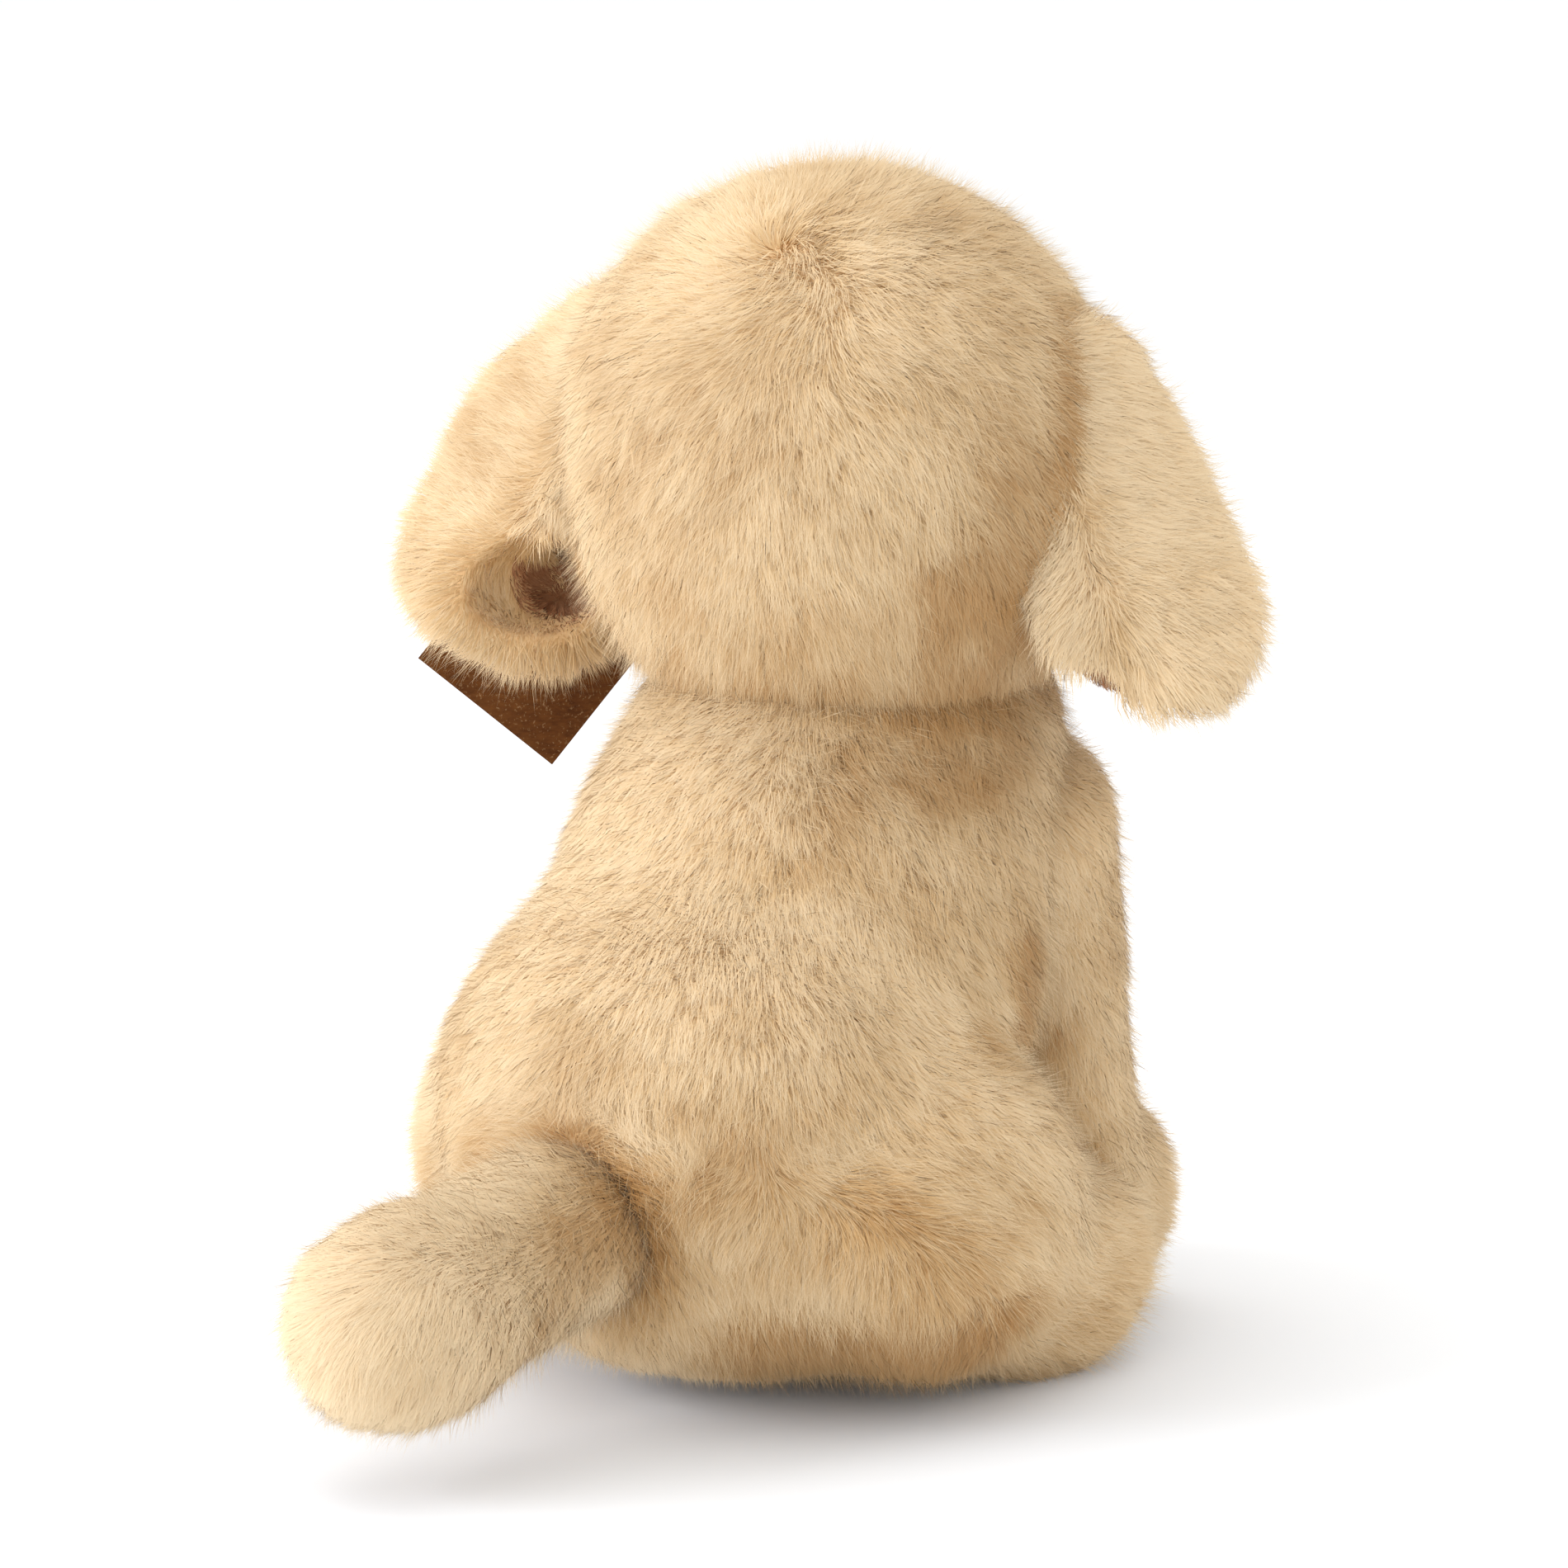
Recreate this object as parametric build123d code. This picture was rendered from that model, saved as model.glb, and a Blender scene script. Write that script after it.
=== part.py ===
from build123d import *
import os
from math import sin, cos, radians, sqrt

# Sitting stuffed puppy. Millimetres, +Z up, the dog faces -Y, its right side
# is -X. The origin is at the centre of the footprint box, on the floor.
# Cover panels are fur fabric, pile included.

# ---------------------------------------------------------------- dimensions
PILE_WALL = 6.0            # thickness of a fur cover panel, pile half pressed
GAP = 0.25                 # room between sewn pieces of one body
RUN = 0.6                  # room between pieces that move past each other
BASE_T = 3.0               # short pile base fabric
SHIFT = (-8.34, -33.76, 0.0) # moves the modelling origin to the footprint centre

# torso sections: height, centre y, half width, half depth
TORSO = [(0, 32, 34, 36), (8, 32, 42, 44), (20, 31.5, 48, 49), (40, 30.5, 53.5, 55.5),
         (60, 25, 54.5, 62), (80, 18, 51, 63), (100, 7, 48, 57.5), (120, -3, 45, 50.5),
         (140, -10, 41.5, 42), (160, -14, 33, 30)]

NECK = (0.0, -12.0, 182.0) # centre of the neck ball, the head turns about it
HEAD_TURN = 20.0           # the head looks this far to its left at rest
HEAD_BALL_R = 52.0         # lower head, sits in the cup of the shoulders
SKULL_C, SKULL_R = (0, -12, 196), (56, 54, 54)
MUZZLE_C, MUZZLE_R = (0, -58, 178), (28, 35, 22)
GUSSET_W = 34.0            # centre strip from brow to nape
NECK_BALL_R, NECK_COL_R, NECK_BOTTOM = 16.0, 14.0, 114.0
NECK_NOD = 12.0

EYE_X, EYE_Z, EYE_R, EYE_H = 24.0, 203.0, 6.5, 5.0
SHANK_R, SHANK_L = 1.8, 10.0
WASHER_R, WASHER_T = 7.0, 1.5
NOSE_A = 35.0              # nose sits this far up the front of the muzzle

EAR_T = 5.2                # thickness of each ear half
EAR = {                    # root point, tip point, width direction, root and tip radius
    "right": ((-52, -8, 205), (-65, 4, 162), (-0.72, -0.69, 0), 16.0, 25.5),
    "left": ((54, -8, 205), (72, 1, 163), (0.80, -0.60, 0), 16.0, 25.5),
}

HAUNCH_C, HAUNCH_R, HAUNCH_TILT = (43, 18, 44), (31, 42, 35), 28.0
FOOT_C, FOOT_R, FOOT_YAW = (50, -14, 16), (17, 27, 18), 6.0
SHOULDER, SHOULDER_R = (25, -34, 110), 19.0
WRIST, WRIST_R = (25, -46, 36), 17.0
PAW_C, PAW_R = (25, -57, 19), (16, 24, 21)
PAD_T = 2.0
LEG_SWING = 30.0           # a foreleg lifts forward this far

TAIL_ROOT, TAIL_TIP, TAIL_R, TAIL_CUP_R = (0, 86, 40), (0, 140, 32), 17.0, 21.0

POUCH_C, POUCH_R, POUCH_T = (0, 32, 18), (34, 36, 12), 1.2

TAG_W, TAG_L, TAG_T = 37.0, 52.0, 1.0
TAG_HOLE_R, TAG_HOLE_UP = 2.2, 45.0
TAG_FOOT = (87.2, 0.8, 128.1)                 # middle of the card's lower edge
TAG_UP = Vector(-0.4235, -0.4757, 0.7709)     # along the card, towards the hole
TAG_FACE = Vector(-0.5789, 0.7967, 0.1736)    # normal of the card
TIE_R, TIE_LEN = 0.6, 18.4                   # plastic loop tie
TAB_R, TAB_WIRE = 3.2, 0.6                    # thread loop on the cheek

# ------------------------------------------------------------------- helpers
TURN = Location((NECK[0], NECK[1], 0)) * Rot(0, 0, HEAD_TURN) * Location((-NECK[0], -NECK[1], 0))


def ellipsoid(c, r, grow=0.0, rot=(0, 0, 0)):
    rr = [v + grow for v in r]
    m = (rr[0] * rr[1] * rr[2]) ** (1 / 3)
    return Location(c) * Rot(*rot) * scale(Sphere(m), by=(rr[0] / m, rr[1] / m, rr[2] / m))


def ball(c, r):
    return Pos(*c) * Sphere(r)


def capsule(a, b, ra, rb):
    # two balls joined by the cone that touches both
    A, B = Vector(*a), Vector(*b)
    d = B - A
    L = d.length
    d = d.normalized()
    s = (ra - rb) / L
    c = sqrt(1 - s * s)
    plane = Plane(origin=A, z_dir=d)
    lo, hi = ra * s, L + rb * s
    cone = plane.location * Pos(0, 0, lo) * Cone(ra * c, rb * c, hi - lo, align=(Align.CENTER, Align.CENTER, Align.MIN)) \
        if abs(ra - rb) > 1e-6 else plane.location * Cylinder(ra, L, align=(Align.CENTER, Align.CENTER, Align.MIN))
    return ball(a, ra) + cone + ball(b, rb)


def torso_solid(grow=0.0, bottom=0.0, top=160.0):
    wires = []
    for z, cy, rx, ry in TORSO:
        zz = max(z, bottom) if z == TORSO[0][0] else z
        wires.append(Plane((0, cy, zz)) * Ellipse(rx + grow, ry + grow))
    return loft(wires)


def box(x0, x1, y0, y1, z0, z1):
    return Pos((x0 + x1) / 2, (y0 + y1) / 2, (z0 + z1) / 2) * Box(x1 - x0, y1 - y0, z1 - z0)


def mirror_x(p):
    return (-p[0], p[1], p[2])


def largest(shape):
    s = shape.solids()
    return max(s, key=lambda q: q.volume)


OUT = {}


def keep(name, shape, whole=False):
    solids = [q for q in shape.solids() if q.volume > (1.0 if whole else 20.0)]
    moved = [q.moved(Location(SHIFT)) for q in solids]
    OUT[name] = moved[0] if len(moved) == 1 else Compound(children=moved)


BIG = 400

# ---------------------------------------------------------------- the torso
torso_out = torso_solid(0.0)
torso_in = torso_solid(-PILE_WALL, bottom=BASE_T) & box(-BIG, BIG, -BIG, BIG, BASE_T + GAP, 160)
torso_fill = torso_solid(-PILE_WALL - GAP, bottom=BASE_T) & box(-BIG, BIG, -BIG, BIG, BASE_T + GAP, 160)
torso_keep_out = torso_solid(GAP)

neck_cup = ball(NECK, HEAD_BALL_R + RUN)
tail_cup = ball(TAIL_ROOT, TAIL_CUP_R)


def leg_shape(side, grow=0.0):
    s = 1 if side == "left" else -1
    sh, wr = (s * SHOULDER[0],) + SHOULDER[1:], (s * WRIST[0],) + WRIST[1:]
    leg = capsule(sh, wr, SHOULDER_R + grow, WRIST_R + grow)
    paw = ellipsoid((s * PAW_C[0],) + PAW_C[1:], PAW_R, grow)
    return leg + paw


def leg_room(side):
    # the leg, and the space in front of it that it swings through
    s = 1 if side == "left" else -1
    front = box(6.2, 70, -120, SHOULDER[1] - 3, 10, SHOULDER[2])
    if s < 0:
        front = box(-70, -6.2, -120, SHOULDER[1] - 3, 10, SHOULDER[2])
    return leg_shape(side, RUN) + front


def leg_lifted(side):
    # the upper leg at the end of its swing
    s = 1 if side == "left" else -1
    sh, wr = (s * SHOULDER[0],) + SHOULDER[1:], (s * WRIST[0],) + WRIST[1:]
    r = RUN + 0.2
    return Pos(*sh) * Rot(-LEG_SWING, 0, 0) * Pos(*[-v for v in sh]) * capsule(sh, wr, SHOULDER_R + r, WRIST_R + r)


rooms = {s: leg_room(s) for s in ("left", "right")}
lifted = {s: leg_lifted(s) for s in ("left", "right")}

shell = torso_out - torso_in
shell = shell & box(-BIG, BIG, -BIG, BIG, BASE_T, 160)
for tool in (neck_cup, tail_cup, rooms["left"], rooms["right"], lifted["left"], lifted["right"]):
    shell = shell - tool
BELLY_W = 17.0
belly = shell & box(-BELLY_W, BELLY_W, -BIG, 10, BASE_T, 160)
sides = shell - box(-BELLY_W, BELLY_W, -BIG, 10, BASE_T, 160)
keep("belly_panel", belly)
keep("body_side_left", sides & box(0, BIG, -BIG, BIG, 0, 200))
keep("body_side_right", sides & box(-BIG, 0, -BIG, BIG, 0, 200))

base = torso_out & box(-BIG, BIG, -BIG, BIG, 0, BASE_T)
for tool in (rooms["left"], rooms["right"]):
    base = base - tool
keep("base_panel", base)

neck_bore = Pos(NECK[0], NECK[1], NECK_BOTTOM - RUN) * Cylinder(
    NECK_COL_R + RUN, 60, align=(Align.CENTER, Align.CENTER, Align.MIN))
filling = torso_fill
for tool in (neck_cup, tail_cup, rooms["left"], rooms["right"], lifted["left"], lifted["right"], neck_bore):
    filling = filling - tool
pouch = ellipsoid(POUCH_C, POUCH_R)
filling = filling - ellipsoid(POUCH_C, POUCH_R, GAP)
keep("torso_stuffing", largest(filling))
keep("pellet_pouch", pouch - ellipsoid(POUCH_C, POUCH_R, -POUCH_T))
keep("weight_pellets", ellipsoid(POUCH_C, POUCH_R, -POUCH_T - GAP))

# -------------------------------------------- hind legs, sewn to the torso
for side, s in (("left", 1), ("right", -1)):
    hc = (s * HAUNCH_C[0],) + HAUNCH_C[1:]
    fc = (s * FOOT_C[0],) + FOOT_C[1:]
    hrot, frot = (HAUNCH_TILT, 0, 0), (0, 0, s * FOOT_YAW)
    floor = box(-BIG, BIG, -BIG, BIG, 0, 200)
    haunch = (ellipsoid(hc, HAUNCH_R, 0, hrot) & floor) - torso_keep_out
    haunch = haunch - rooms[side]
    haunch_in = ellipsoid(hc, HAUNCH_R, -PILE_WALL, hrot)
    keep("haunch_cover_" + side, haunch - haunch_in)
    foot = (ellipsoid(fc, FOOT_R, 0, frot) & box(-BIG, BIG, -BIG, BIG, PAD_T, 200)) - torso_keep_out
    foot = foot - ellipsoid(hc, HAUNCH_R, GAP, hrot) - rooms[side]
    foot_in = ellipsoid(fc, FOOT_R, -PILE_WALL + 1, frot) & box(-BIG, BIG, -BIG, BIG, PAD_T + 2, 200)
    keep("hind_foot_cover_" + side, foot - foot_in)
    sole = (ellipsoid(fc, FOOT_R, 0, frot) & box(-BIG, BIG, -BIG, BIG, 0, PAD_T)) - torso_keep_out
    sole = sole - ellipsoid(hc, HAUNCH_R, GAP, hrot) - rooms[side]
    keep("hind_sole_" + side, largest(sole))
    hs = (ellipsoid(hc, HAUNCH_R, -PILE_WALL - GAP, hrot) & box(-BIG, BIG, -BIG, BIG, 1, 200)) - torso_keep_out
    keep("haunch_stuffing_" + side, largest(hs - rooms[side]))

# ------------------------------------------------------------------ forelegs
for side, s in (("left", 1), ("right", -1)):
    floor = box(-BIG, BIG, -BIG, BIG, PAD_T, 200)
    outer = leg_shape(side) & floor
    inner = leg_shape(side, -4.5) & box(-BIG, BIG, -BIG, BIG, PAD_T + 2, 200)
    keep("foreleg_cover_" + side, outer - inner)
    keep("paw_pad_" + side, largest(leg_shape(side) & box(-BIG, BIG, -BIG, BIG, 0, PAD_T)))
    keep("foreleg_stuffing_" + side, largest(leg_shape(side, -4.5 - GAP) & box(-BIG, BIG, -BIG, BIG, PAD_T + 2 + GAP, 200)))

# ---------------------------------------------------------------------- tail
tail_out = capsule(TAIL_ROOT, TAIL_TIP, TAIL_R, TAIL_R)
tail_in = capsule(TAIL_ROOT, TAIL_TIP, TAIL_R - 5, TAIL_R - 5)
tail_shell = tail_out - tail_in
keep("tail_half_left", tail_shell & box(0, BIG, -BIG, BIG, -50, 200))
keep("tail_half_right", tail_shell & box(-BIG, 0, -BIG, BIG, -50, 200))
keep("tail_stuffing", capsule(TAIL_ROOT, TAIL_TIP, TAIL_R - 5 - GAP, TAIL_R - 5 - GAP))

# ---------------------------------------------------------------------- neck
neck_core = ball(NECK, NECK_BALL_R) + Pos(NECK[0], NECK[1], NECK_BOTTOM) * Cylinder(
    NECK_COL_R, NECK[2] - NECK_BOTTOM, align=(Align.CENTER, Align.CENTER, Align.MIN))
keep("neck_core", neck_core)
throat_d = HEAD_BALL_R + 6
throat_r = NECK_COL_R / cos(radians(NECK_NOD)) + throat_d * sin(radians(NECK_NOD)) / cos(radians(NECK_NOD)) + 1.2
throat = ball(NECK, NECK_BALL_R + RUN) + Pos(NECK[0], NECK[1], NECK[2] - throat_d) * Cone(
    throat_r, NECK_BALL_R + RUN, throat_d, align=(Align.CENTER, Align.CENTER, Align.MIN))

# ---------------------------------------------------------------------- head
head_out = ellipsoid(SKULL_C, SKULL_R) + ball(NECK, HEAD_BALL_R)
head_in = ellipsoid(SKULL_C, SKULL_R, -PILE_WALL) + ball(NECK, HEAD_BALL_R - PILE_WALL)
head_fill = ellipsoid(SKULL_C, SKULL_R, -PILE_WALL - GAP) + ball(NECK, HEAD_BALL_R - PILE_WALL - GAP)
head_shell = head_out - head_in - throat


def surface_frame(c, r, x, z):
    # point on the front of an ellipsoid and its outward normal
    fy = sqrt(max(0.0, 1 - ((x - c[0]) / r[0]) ** 2 - ((z - c[2]) / r[2]) ** 2))
    p = Vector(x, c[1] - r[1] * fy, z)
    n = Vector((x - c[0]) / r[0] ** 2, (p.Y - c[1]) / r[1] ** 2, (z - c[2]) / r[2] ** 2).normalized()
    return p, n


def stud(profile_r, height, flat=False):
    # domed button on a shank, back face on z = 0, shank along -z
    dome = scale(Sphere(profile_r), by=(1, 1, height / profile_r)) & box(-20, 20, -20, 20, 0, 20)
    return dome + Cylinder(SHANK_R, SHANK_L, align=(Align.CENTER, Align.CENTER, Align.MAX))


def washer():
    w = Cylinder(WASHER_R, WASHER_T) - Cylinder(SHANK_R + 0.06, 10)
    return w


def pocket():
    return Pos(0, 0, -PILE_WALL - 0.2) * Cylinder(WASHER_R + 0.4, 5.0, align=(Align.CENTER, Align.CENTER, Align.MAX))


eye_washers = []
for side, s in (("left", 1), ("right", -1)):
    p, n = surface_frame(SKULL_C, SKULL_R, s * EYE_X, EYE_Z)
    at = Plane(origin=p + n * 0.1, z_dir=n).location
    keep("eye_" + side, TURN * at * stud(EYE_R, EYE_H), whole=True)
    hole = at * Pos(0, 0, -6) * Cylinder(SHANK_R + 0.15, 20)
    head_shell = head_shell - hole
    head_fill = head_fill - hole - (at * pocket())
    eye_washers.append(TURN * at * Pos(0, 0, -PILE_WALL - 1.0 - WASHER_T / 2) * washer())
keep("eye_washers", Compound(children=[w.solids()[0] for w in eye_washers]), whole=True)

mz_out = ellipsoid(MUZZLE_C, MUZZLE_R)
mz_in = ellipsoid(MUZZLE_C, MUZZLE_R, -5.0)
head_clear = ellipsoid(SKULL_C, SKULL_R, GAP) + ball(NECK, HEAD_BALL_R + GAP)
nz = MUZZLE_C[2] + MUZZLE_R[2] * sin(radians(NOSE_A))
p, n = surface_frame(MUZZLE_C, MUZZLE_R, 0, nz)
nose_at = Plane(origin=p + n * 0.35, x_dir=(1, 0, 0), z_dir=n).location
nose_body = scale(Sphere(8), by=(1.05, 0.8, 0.62)) & box(-20, 20, -20, 20, 0, 20)
nose = nose_body + Cylinder(SHANK_R, SHANK_L, align=(Align.CENTER, Align.CENTER, Align.MAX))
nose_hole = nose_at * Pos(0, 0, -6) * Cylinder(SHANK_R + 0.15, 20)
keep("nose", TURN * nose_at * nose, whole=True)
keep("nose_washer", TURN * nose_at * Pos(0, 0, -5.0 - 2.2 - WASHER_T / 2) * washer(), whole=True)
nose_pocket = nose_at * Pos(0, 0, -5.4) * Cylinder(WASHER_R + 0.4, 6.0, align=(Align.CENTER, Align.CENTER, Align.MAX))
muzzle = mz_out - mz_in - head_clear - nose_hole
keep("muzzle_panel", TURN * (muzzle & box(-BIG, BIG, -BIG, BIG, MUZZLE_C[2] - 8, 300)))
keep("chin_panel", TURN * (muzzle & box(-BIG, BIG, -BIG, BIG, 100, MUZZLE_C[2] - 8)))
keep("muzzle_stuffing", TURN * largest(ellipsoid(MUZZLE_C, MUZZLE_R, -5.0 - GAP) - head_clear - nose_hole - nose_pocket))

# stitched mouth line: down from the nose, then out to both sides
pts_mid = [surface_frame(MUZZLE_C, MUZZLE_R, 0, z) for z in (183.5, 179.5, 175.5, 172.0)]
stitches = []


def thread(seq, r=0.55, lift=0.85):
    q = [a + b * lift for a, b in seq]
    body = None
    for u, v in zip(q[:-1], q[1:]):
        c = capsule(tuple(u), tuple(v), r, r)
        body = c if body is None else body + c
    return body


mouth = thread(pts_mid)
for s in (1, -1):
    arc = [surface_frame(MUZZLE_C, MUZZLE_R, s * x, z) for x, z in ((0, 172.0), (5.0, 169.2), (10.0, 169.0), (14.5, 171.4))]
    mouth = mouth + thread(arc)
keep("mouth_stitch", TURN * mouth, whole=True)

strip = box(-GUSSET_W / 2, GUSSET_W / 2, -BIG, BIG, 0, 300)
mid = head_shell & strip
low_front = box(-BIG, BIG, -BIG, NECK[1], 0, 178)
keep("chin_gusset", TURN * (mid & low_front))
keep("crown_gusset", TURN * (mid - low_front))
keep("head_side_left", TURN * (head_shell & box(GUSSET_W / 2, BIG, -BIG, BIG, 0, 300)))
keep("head_side_right", TURN * (head_shell & box(-BIG, -GUSSET_W / 2, -BIG, BIG, 0, 300)))
keep("head_stuffing", TURN * largest(head_fill - throat))

# ---------------------------------------------------------------------- ears
skull_room = (ellipsoid(SKULL_C, SKULL_R, 2.2), ball(NECK, HEAD_BALL_R + 2.2))
for side, (root, tip, width, r1, r2) in EAR.items():
    A, B = Vector(*root), Vector(*tip)
    L = (B - A).length
    a = (B - A).normalized()
    w = Vector(*width)
    w = (w - a * w.dot(a)).normalized()
    nrm = a.cross(w)
    if nrm.Y < 0:
        nrm = nrm * -1
    at = Plane(origin=A, x_dir=a, z_dir=nrm).location
    f = (r2 - r1) / L
    g = sqrt(1 - f * f)
    q1, q2, q3, q4 = (-r1 * f, r1 * g), (L - r2 * f, r2 * g), (L - r2 * f, -r2 * g), (-r1 * f, -r1 * g)
    rim = Wire([Line(q1, q2), ThreePointArc(q2, (L + r2, 0), q3), Line(q3, q4), ThreePointArc(q4, (-r1, 0), q1)])
    half = extrude(Face(rim), EAR_T, dir=(0, 0, 1))
    half = fillet(half.edges().group_by(Axis.Z)[-1], 3.2)
    outer = at * half
    inner = at * mirror(half, about=Plane.XY)
    keep("ear_outer_" + side, TURN * largest(outer - skull_room[0] - skull_room[1]))
    keep("ear_lining_" + side, TURN * largest(inner - skull_room[0] - skull_room[1]))

# ----------------------------------------------------------------- hang tag
foot = Vector(*TAG_FOOT)
card_at = Plane(origin=foot, x_dir=TAG_UP, z_dir=TAG_FACE).location
card = Pos(TAG_L / 2, 0, 0) * Box(TAG_L, TAG_W, TAG_T)
card = chamfer(card.edges().filter_by(Axis.Z).group_by(Axis.X)[-1], 7.0)
card = card - Pos(TAG_HOLE_UP, 0, 0) * Cylinder(TAG_HOLE_R, 10)
keep("hang_tag", card_at * card, whole=True)

hole = foot + TAG_UP * TAG_HOLE_UP
tie_dir = (TAG_UP + TAG_FACE * 1.0).normalized()
tie_out = (TAG_FACE - tie_dir * TAG_FACE.dot(tie_dir)).normalized()
# the tie goes through the hole, round the card's upper edge and up to the cheek
tie_at = Plane(origin=hole, x_dir=TAG_UP, z_dir=TAG_UP.cross(TAG_FACE)).location
far = TIE_LEN / sqrt(2)
line = FilletPolyline((-1.2, -2.8), (10.5, -2.8), (far + 1.8, far - 1.8), (far - 1.8, far + 1.8), (-1.2, 3.2),
                      radius=1.3, close=True)
tie = sweep(Plane(origin=line @ 0, z_dir=line % 0) * Circle(TIE_R), path=line)
keep("tag_tie", tie_at * tie, whole=True)

pivot = hole + tie_dir * TIE_LEN
tab_c = pivot + tie_dir * 1.6
# the thread loop lies across the tie's plane
tab = Plane(origin=tab_c, x_dir=tie_dir, z_dir=tie_out).location * Torus(TAB_R, TAB_WIRE)
keep("tag_thread_loop", tab - (TURN * head_clear), whole=True)

os.makedirs("parts", exist_ok=True)
for f in os.listdir("parts"):
    if f.endswith(".step") and f[:-5] not in OUT:
        os.remove(os.path.join("parts", f))
lo, hi = [1e9] * 3, [-1e9] * 3
for name, shape in OUT.items():
    export_step(shape, "parts/" + name + ".step")
    bb = shape.bounding_box()
    for i, (u, v) in enumerate(zip(tuple(bb.min), tuple(bb.max))):
        lo[i], hi[i] = min(lo[i], u), max(hi[i], v)
print("nodes", len(OUT), "box", [round(v, 2) for v in lo], [round(v, 2) for v in hi])
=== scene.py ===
import math

import bpy
import numpy as np
from mathutils import Matrix, Vector


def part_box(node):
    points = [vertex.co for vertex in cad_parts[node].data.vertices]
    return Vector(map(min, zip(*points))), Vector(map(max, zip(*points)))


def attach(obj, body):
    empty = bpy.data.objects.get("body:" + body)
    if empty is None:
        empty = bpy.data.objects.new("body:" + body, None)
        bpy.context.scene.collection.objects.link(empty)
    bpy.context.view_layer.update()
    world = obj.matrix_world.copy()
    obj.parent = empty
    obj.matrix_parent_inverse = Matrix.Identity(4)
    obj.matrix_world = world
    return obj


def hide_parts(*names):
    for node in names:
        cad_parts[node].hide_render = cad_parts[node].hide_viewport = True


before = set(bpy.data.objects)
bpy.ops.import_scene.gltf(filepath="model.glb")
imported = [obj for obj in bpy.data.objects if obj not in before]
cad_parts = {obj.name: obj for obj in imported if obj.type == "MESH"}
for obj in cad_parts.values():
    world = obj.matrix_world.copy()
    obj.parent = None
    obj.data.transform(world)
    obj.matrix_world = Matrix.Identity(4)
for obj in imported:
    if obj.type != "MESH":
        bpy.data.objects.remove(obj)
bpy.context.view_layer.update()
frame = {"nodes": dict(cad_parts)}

# ------------------------------------------------------------------ frame
# Shapes are laid out in millimetres about the dog's own axes: it sits on
# z = 0, its body looks along -Y, and OFF carries that into the row frame.
lo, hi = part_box("neck_core")
NECK = np.array([0.0, -12.0, 182.0])
OFF = np.array([(lo.x + hi.x) * 500 - NECK[0], (lo.y + hi.y) * 500 - NECK[1], 0.0])
TURN = math.radians(20.0)


def rot(axis, deg):
    a = math.radians(deg)
    c, s = math.cos(a), math.sin(a)
    return {"x": np.array([[1, 0, 0], [0, c, -s], [0, s, c]]),
            "y": np.array([[c, 0, s], [0, 1, 0], [-s, 0, c]]),
            "z": np.array([[c, -s, 0], [s, c, 0], [0, 0, 1]])}[axis]


RT = rot("z", 20.0)
PIV = np.array([NECK[0], NECK[1], 0.0])


def to_head(p):
    return (p - PIV) @ RT + PIV


def from_head(p):
    return (p - PIV) @ RT.T + PIV


def turn_dir(v):
    return v @ RT.T


def row(p):
    """millimetres about the dog to metres in the row frame"""
    return (np.asarray(p, float) + OFF) / 1000.0


# ------------------------------------------------- distance functions (mm)
def ell(c, r, R=None):
    c, r = np.array(c, float), np.array(r, float)

    def f(p):
        q = p - c
        if R is not None:
            q = q @ R
        k0 = np.linalg.norm(q / r, axis=-1)
        k1 = np.linalg.norm(q / (r * r), axis=-1)
        return k0 * (k0 - 1) / np.maximum(k1, 1e-9)
    return f


def cone(a, b, r1, r2):
    a, b = np.array(a, float), np.array(b, float)

    def f(p):
        ba = b - a
        t = np.clip(((p - a) @ ba) / (ba @ ba), 0, 1)
        return np.linalg.norm(p - a - t[..., None] * ba, axis=-1) - (r1 + (r2 - r1) * t)
    return f


def smin(a, b, k):
    h = np.clip(0.5 + 0.5 * (b - a) / k, 0, 1)
    return b + (a - b) * h - k * h * (1 - h)


def smax(a, b, k):
    return -smin(-a, -b, k)


def group(fs, k):
    def f(p):
        d = fs[0](p)
        for g in fs[1:]:
            d = smin(d, g(p), k)
        return d
    return f


def smooth(a, b, x):
    t = np.clip((x - a) / (b - a), 0, 1)
    return t * t * (3 - 2 * t)


# ---------------------------------------------------------- smooth 3D noise
def hash3(i, j, k, seed):
    n = (i * 374761393 + j * 668265263 + k * 2147483647 % 1000003 * 97 + seed * 974634777) & 0xFFFFFFFF
    n = ((n ^ (n >> 13)) * 1274126177) & 0xFFFFFFFF
    n = ((n ^ (n >> 16)) * 2246822519) & 0xFFFFFFFF
    return ((n ^ (n >> 15)) & 0xFFFFFF) / float(0x1000000)


def noise(p, size, seed):
    """value noise in -1..1 at points p (mm), feature size in mm"""
    q = p / size + 1000.0
    i0 = np.floor(q).astype(np.int64)
    f = q - i0
    f = f * f * (3 - 2 * f)
    out = np.zeros(len(p))
    for dx in (0, 1):
        for dy in (0, 1):
            for dz in (0, 1):
                w = (f[:, 0] if dx else 1 - f[:, 0]) * (f[:, 1] if dy else 1 - f[:, 1]) * (f[:, 2] if dz else 1 - f[:, 2])
                out += w * hash3(i0[:, 0] + dx, i0[:, 1] + dy, i0[:, 2] + dz, seed)
    return out * 2 - 1


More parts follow.
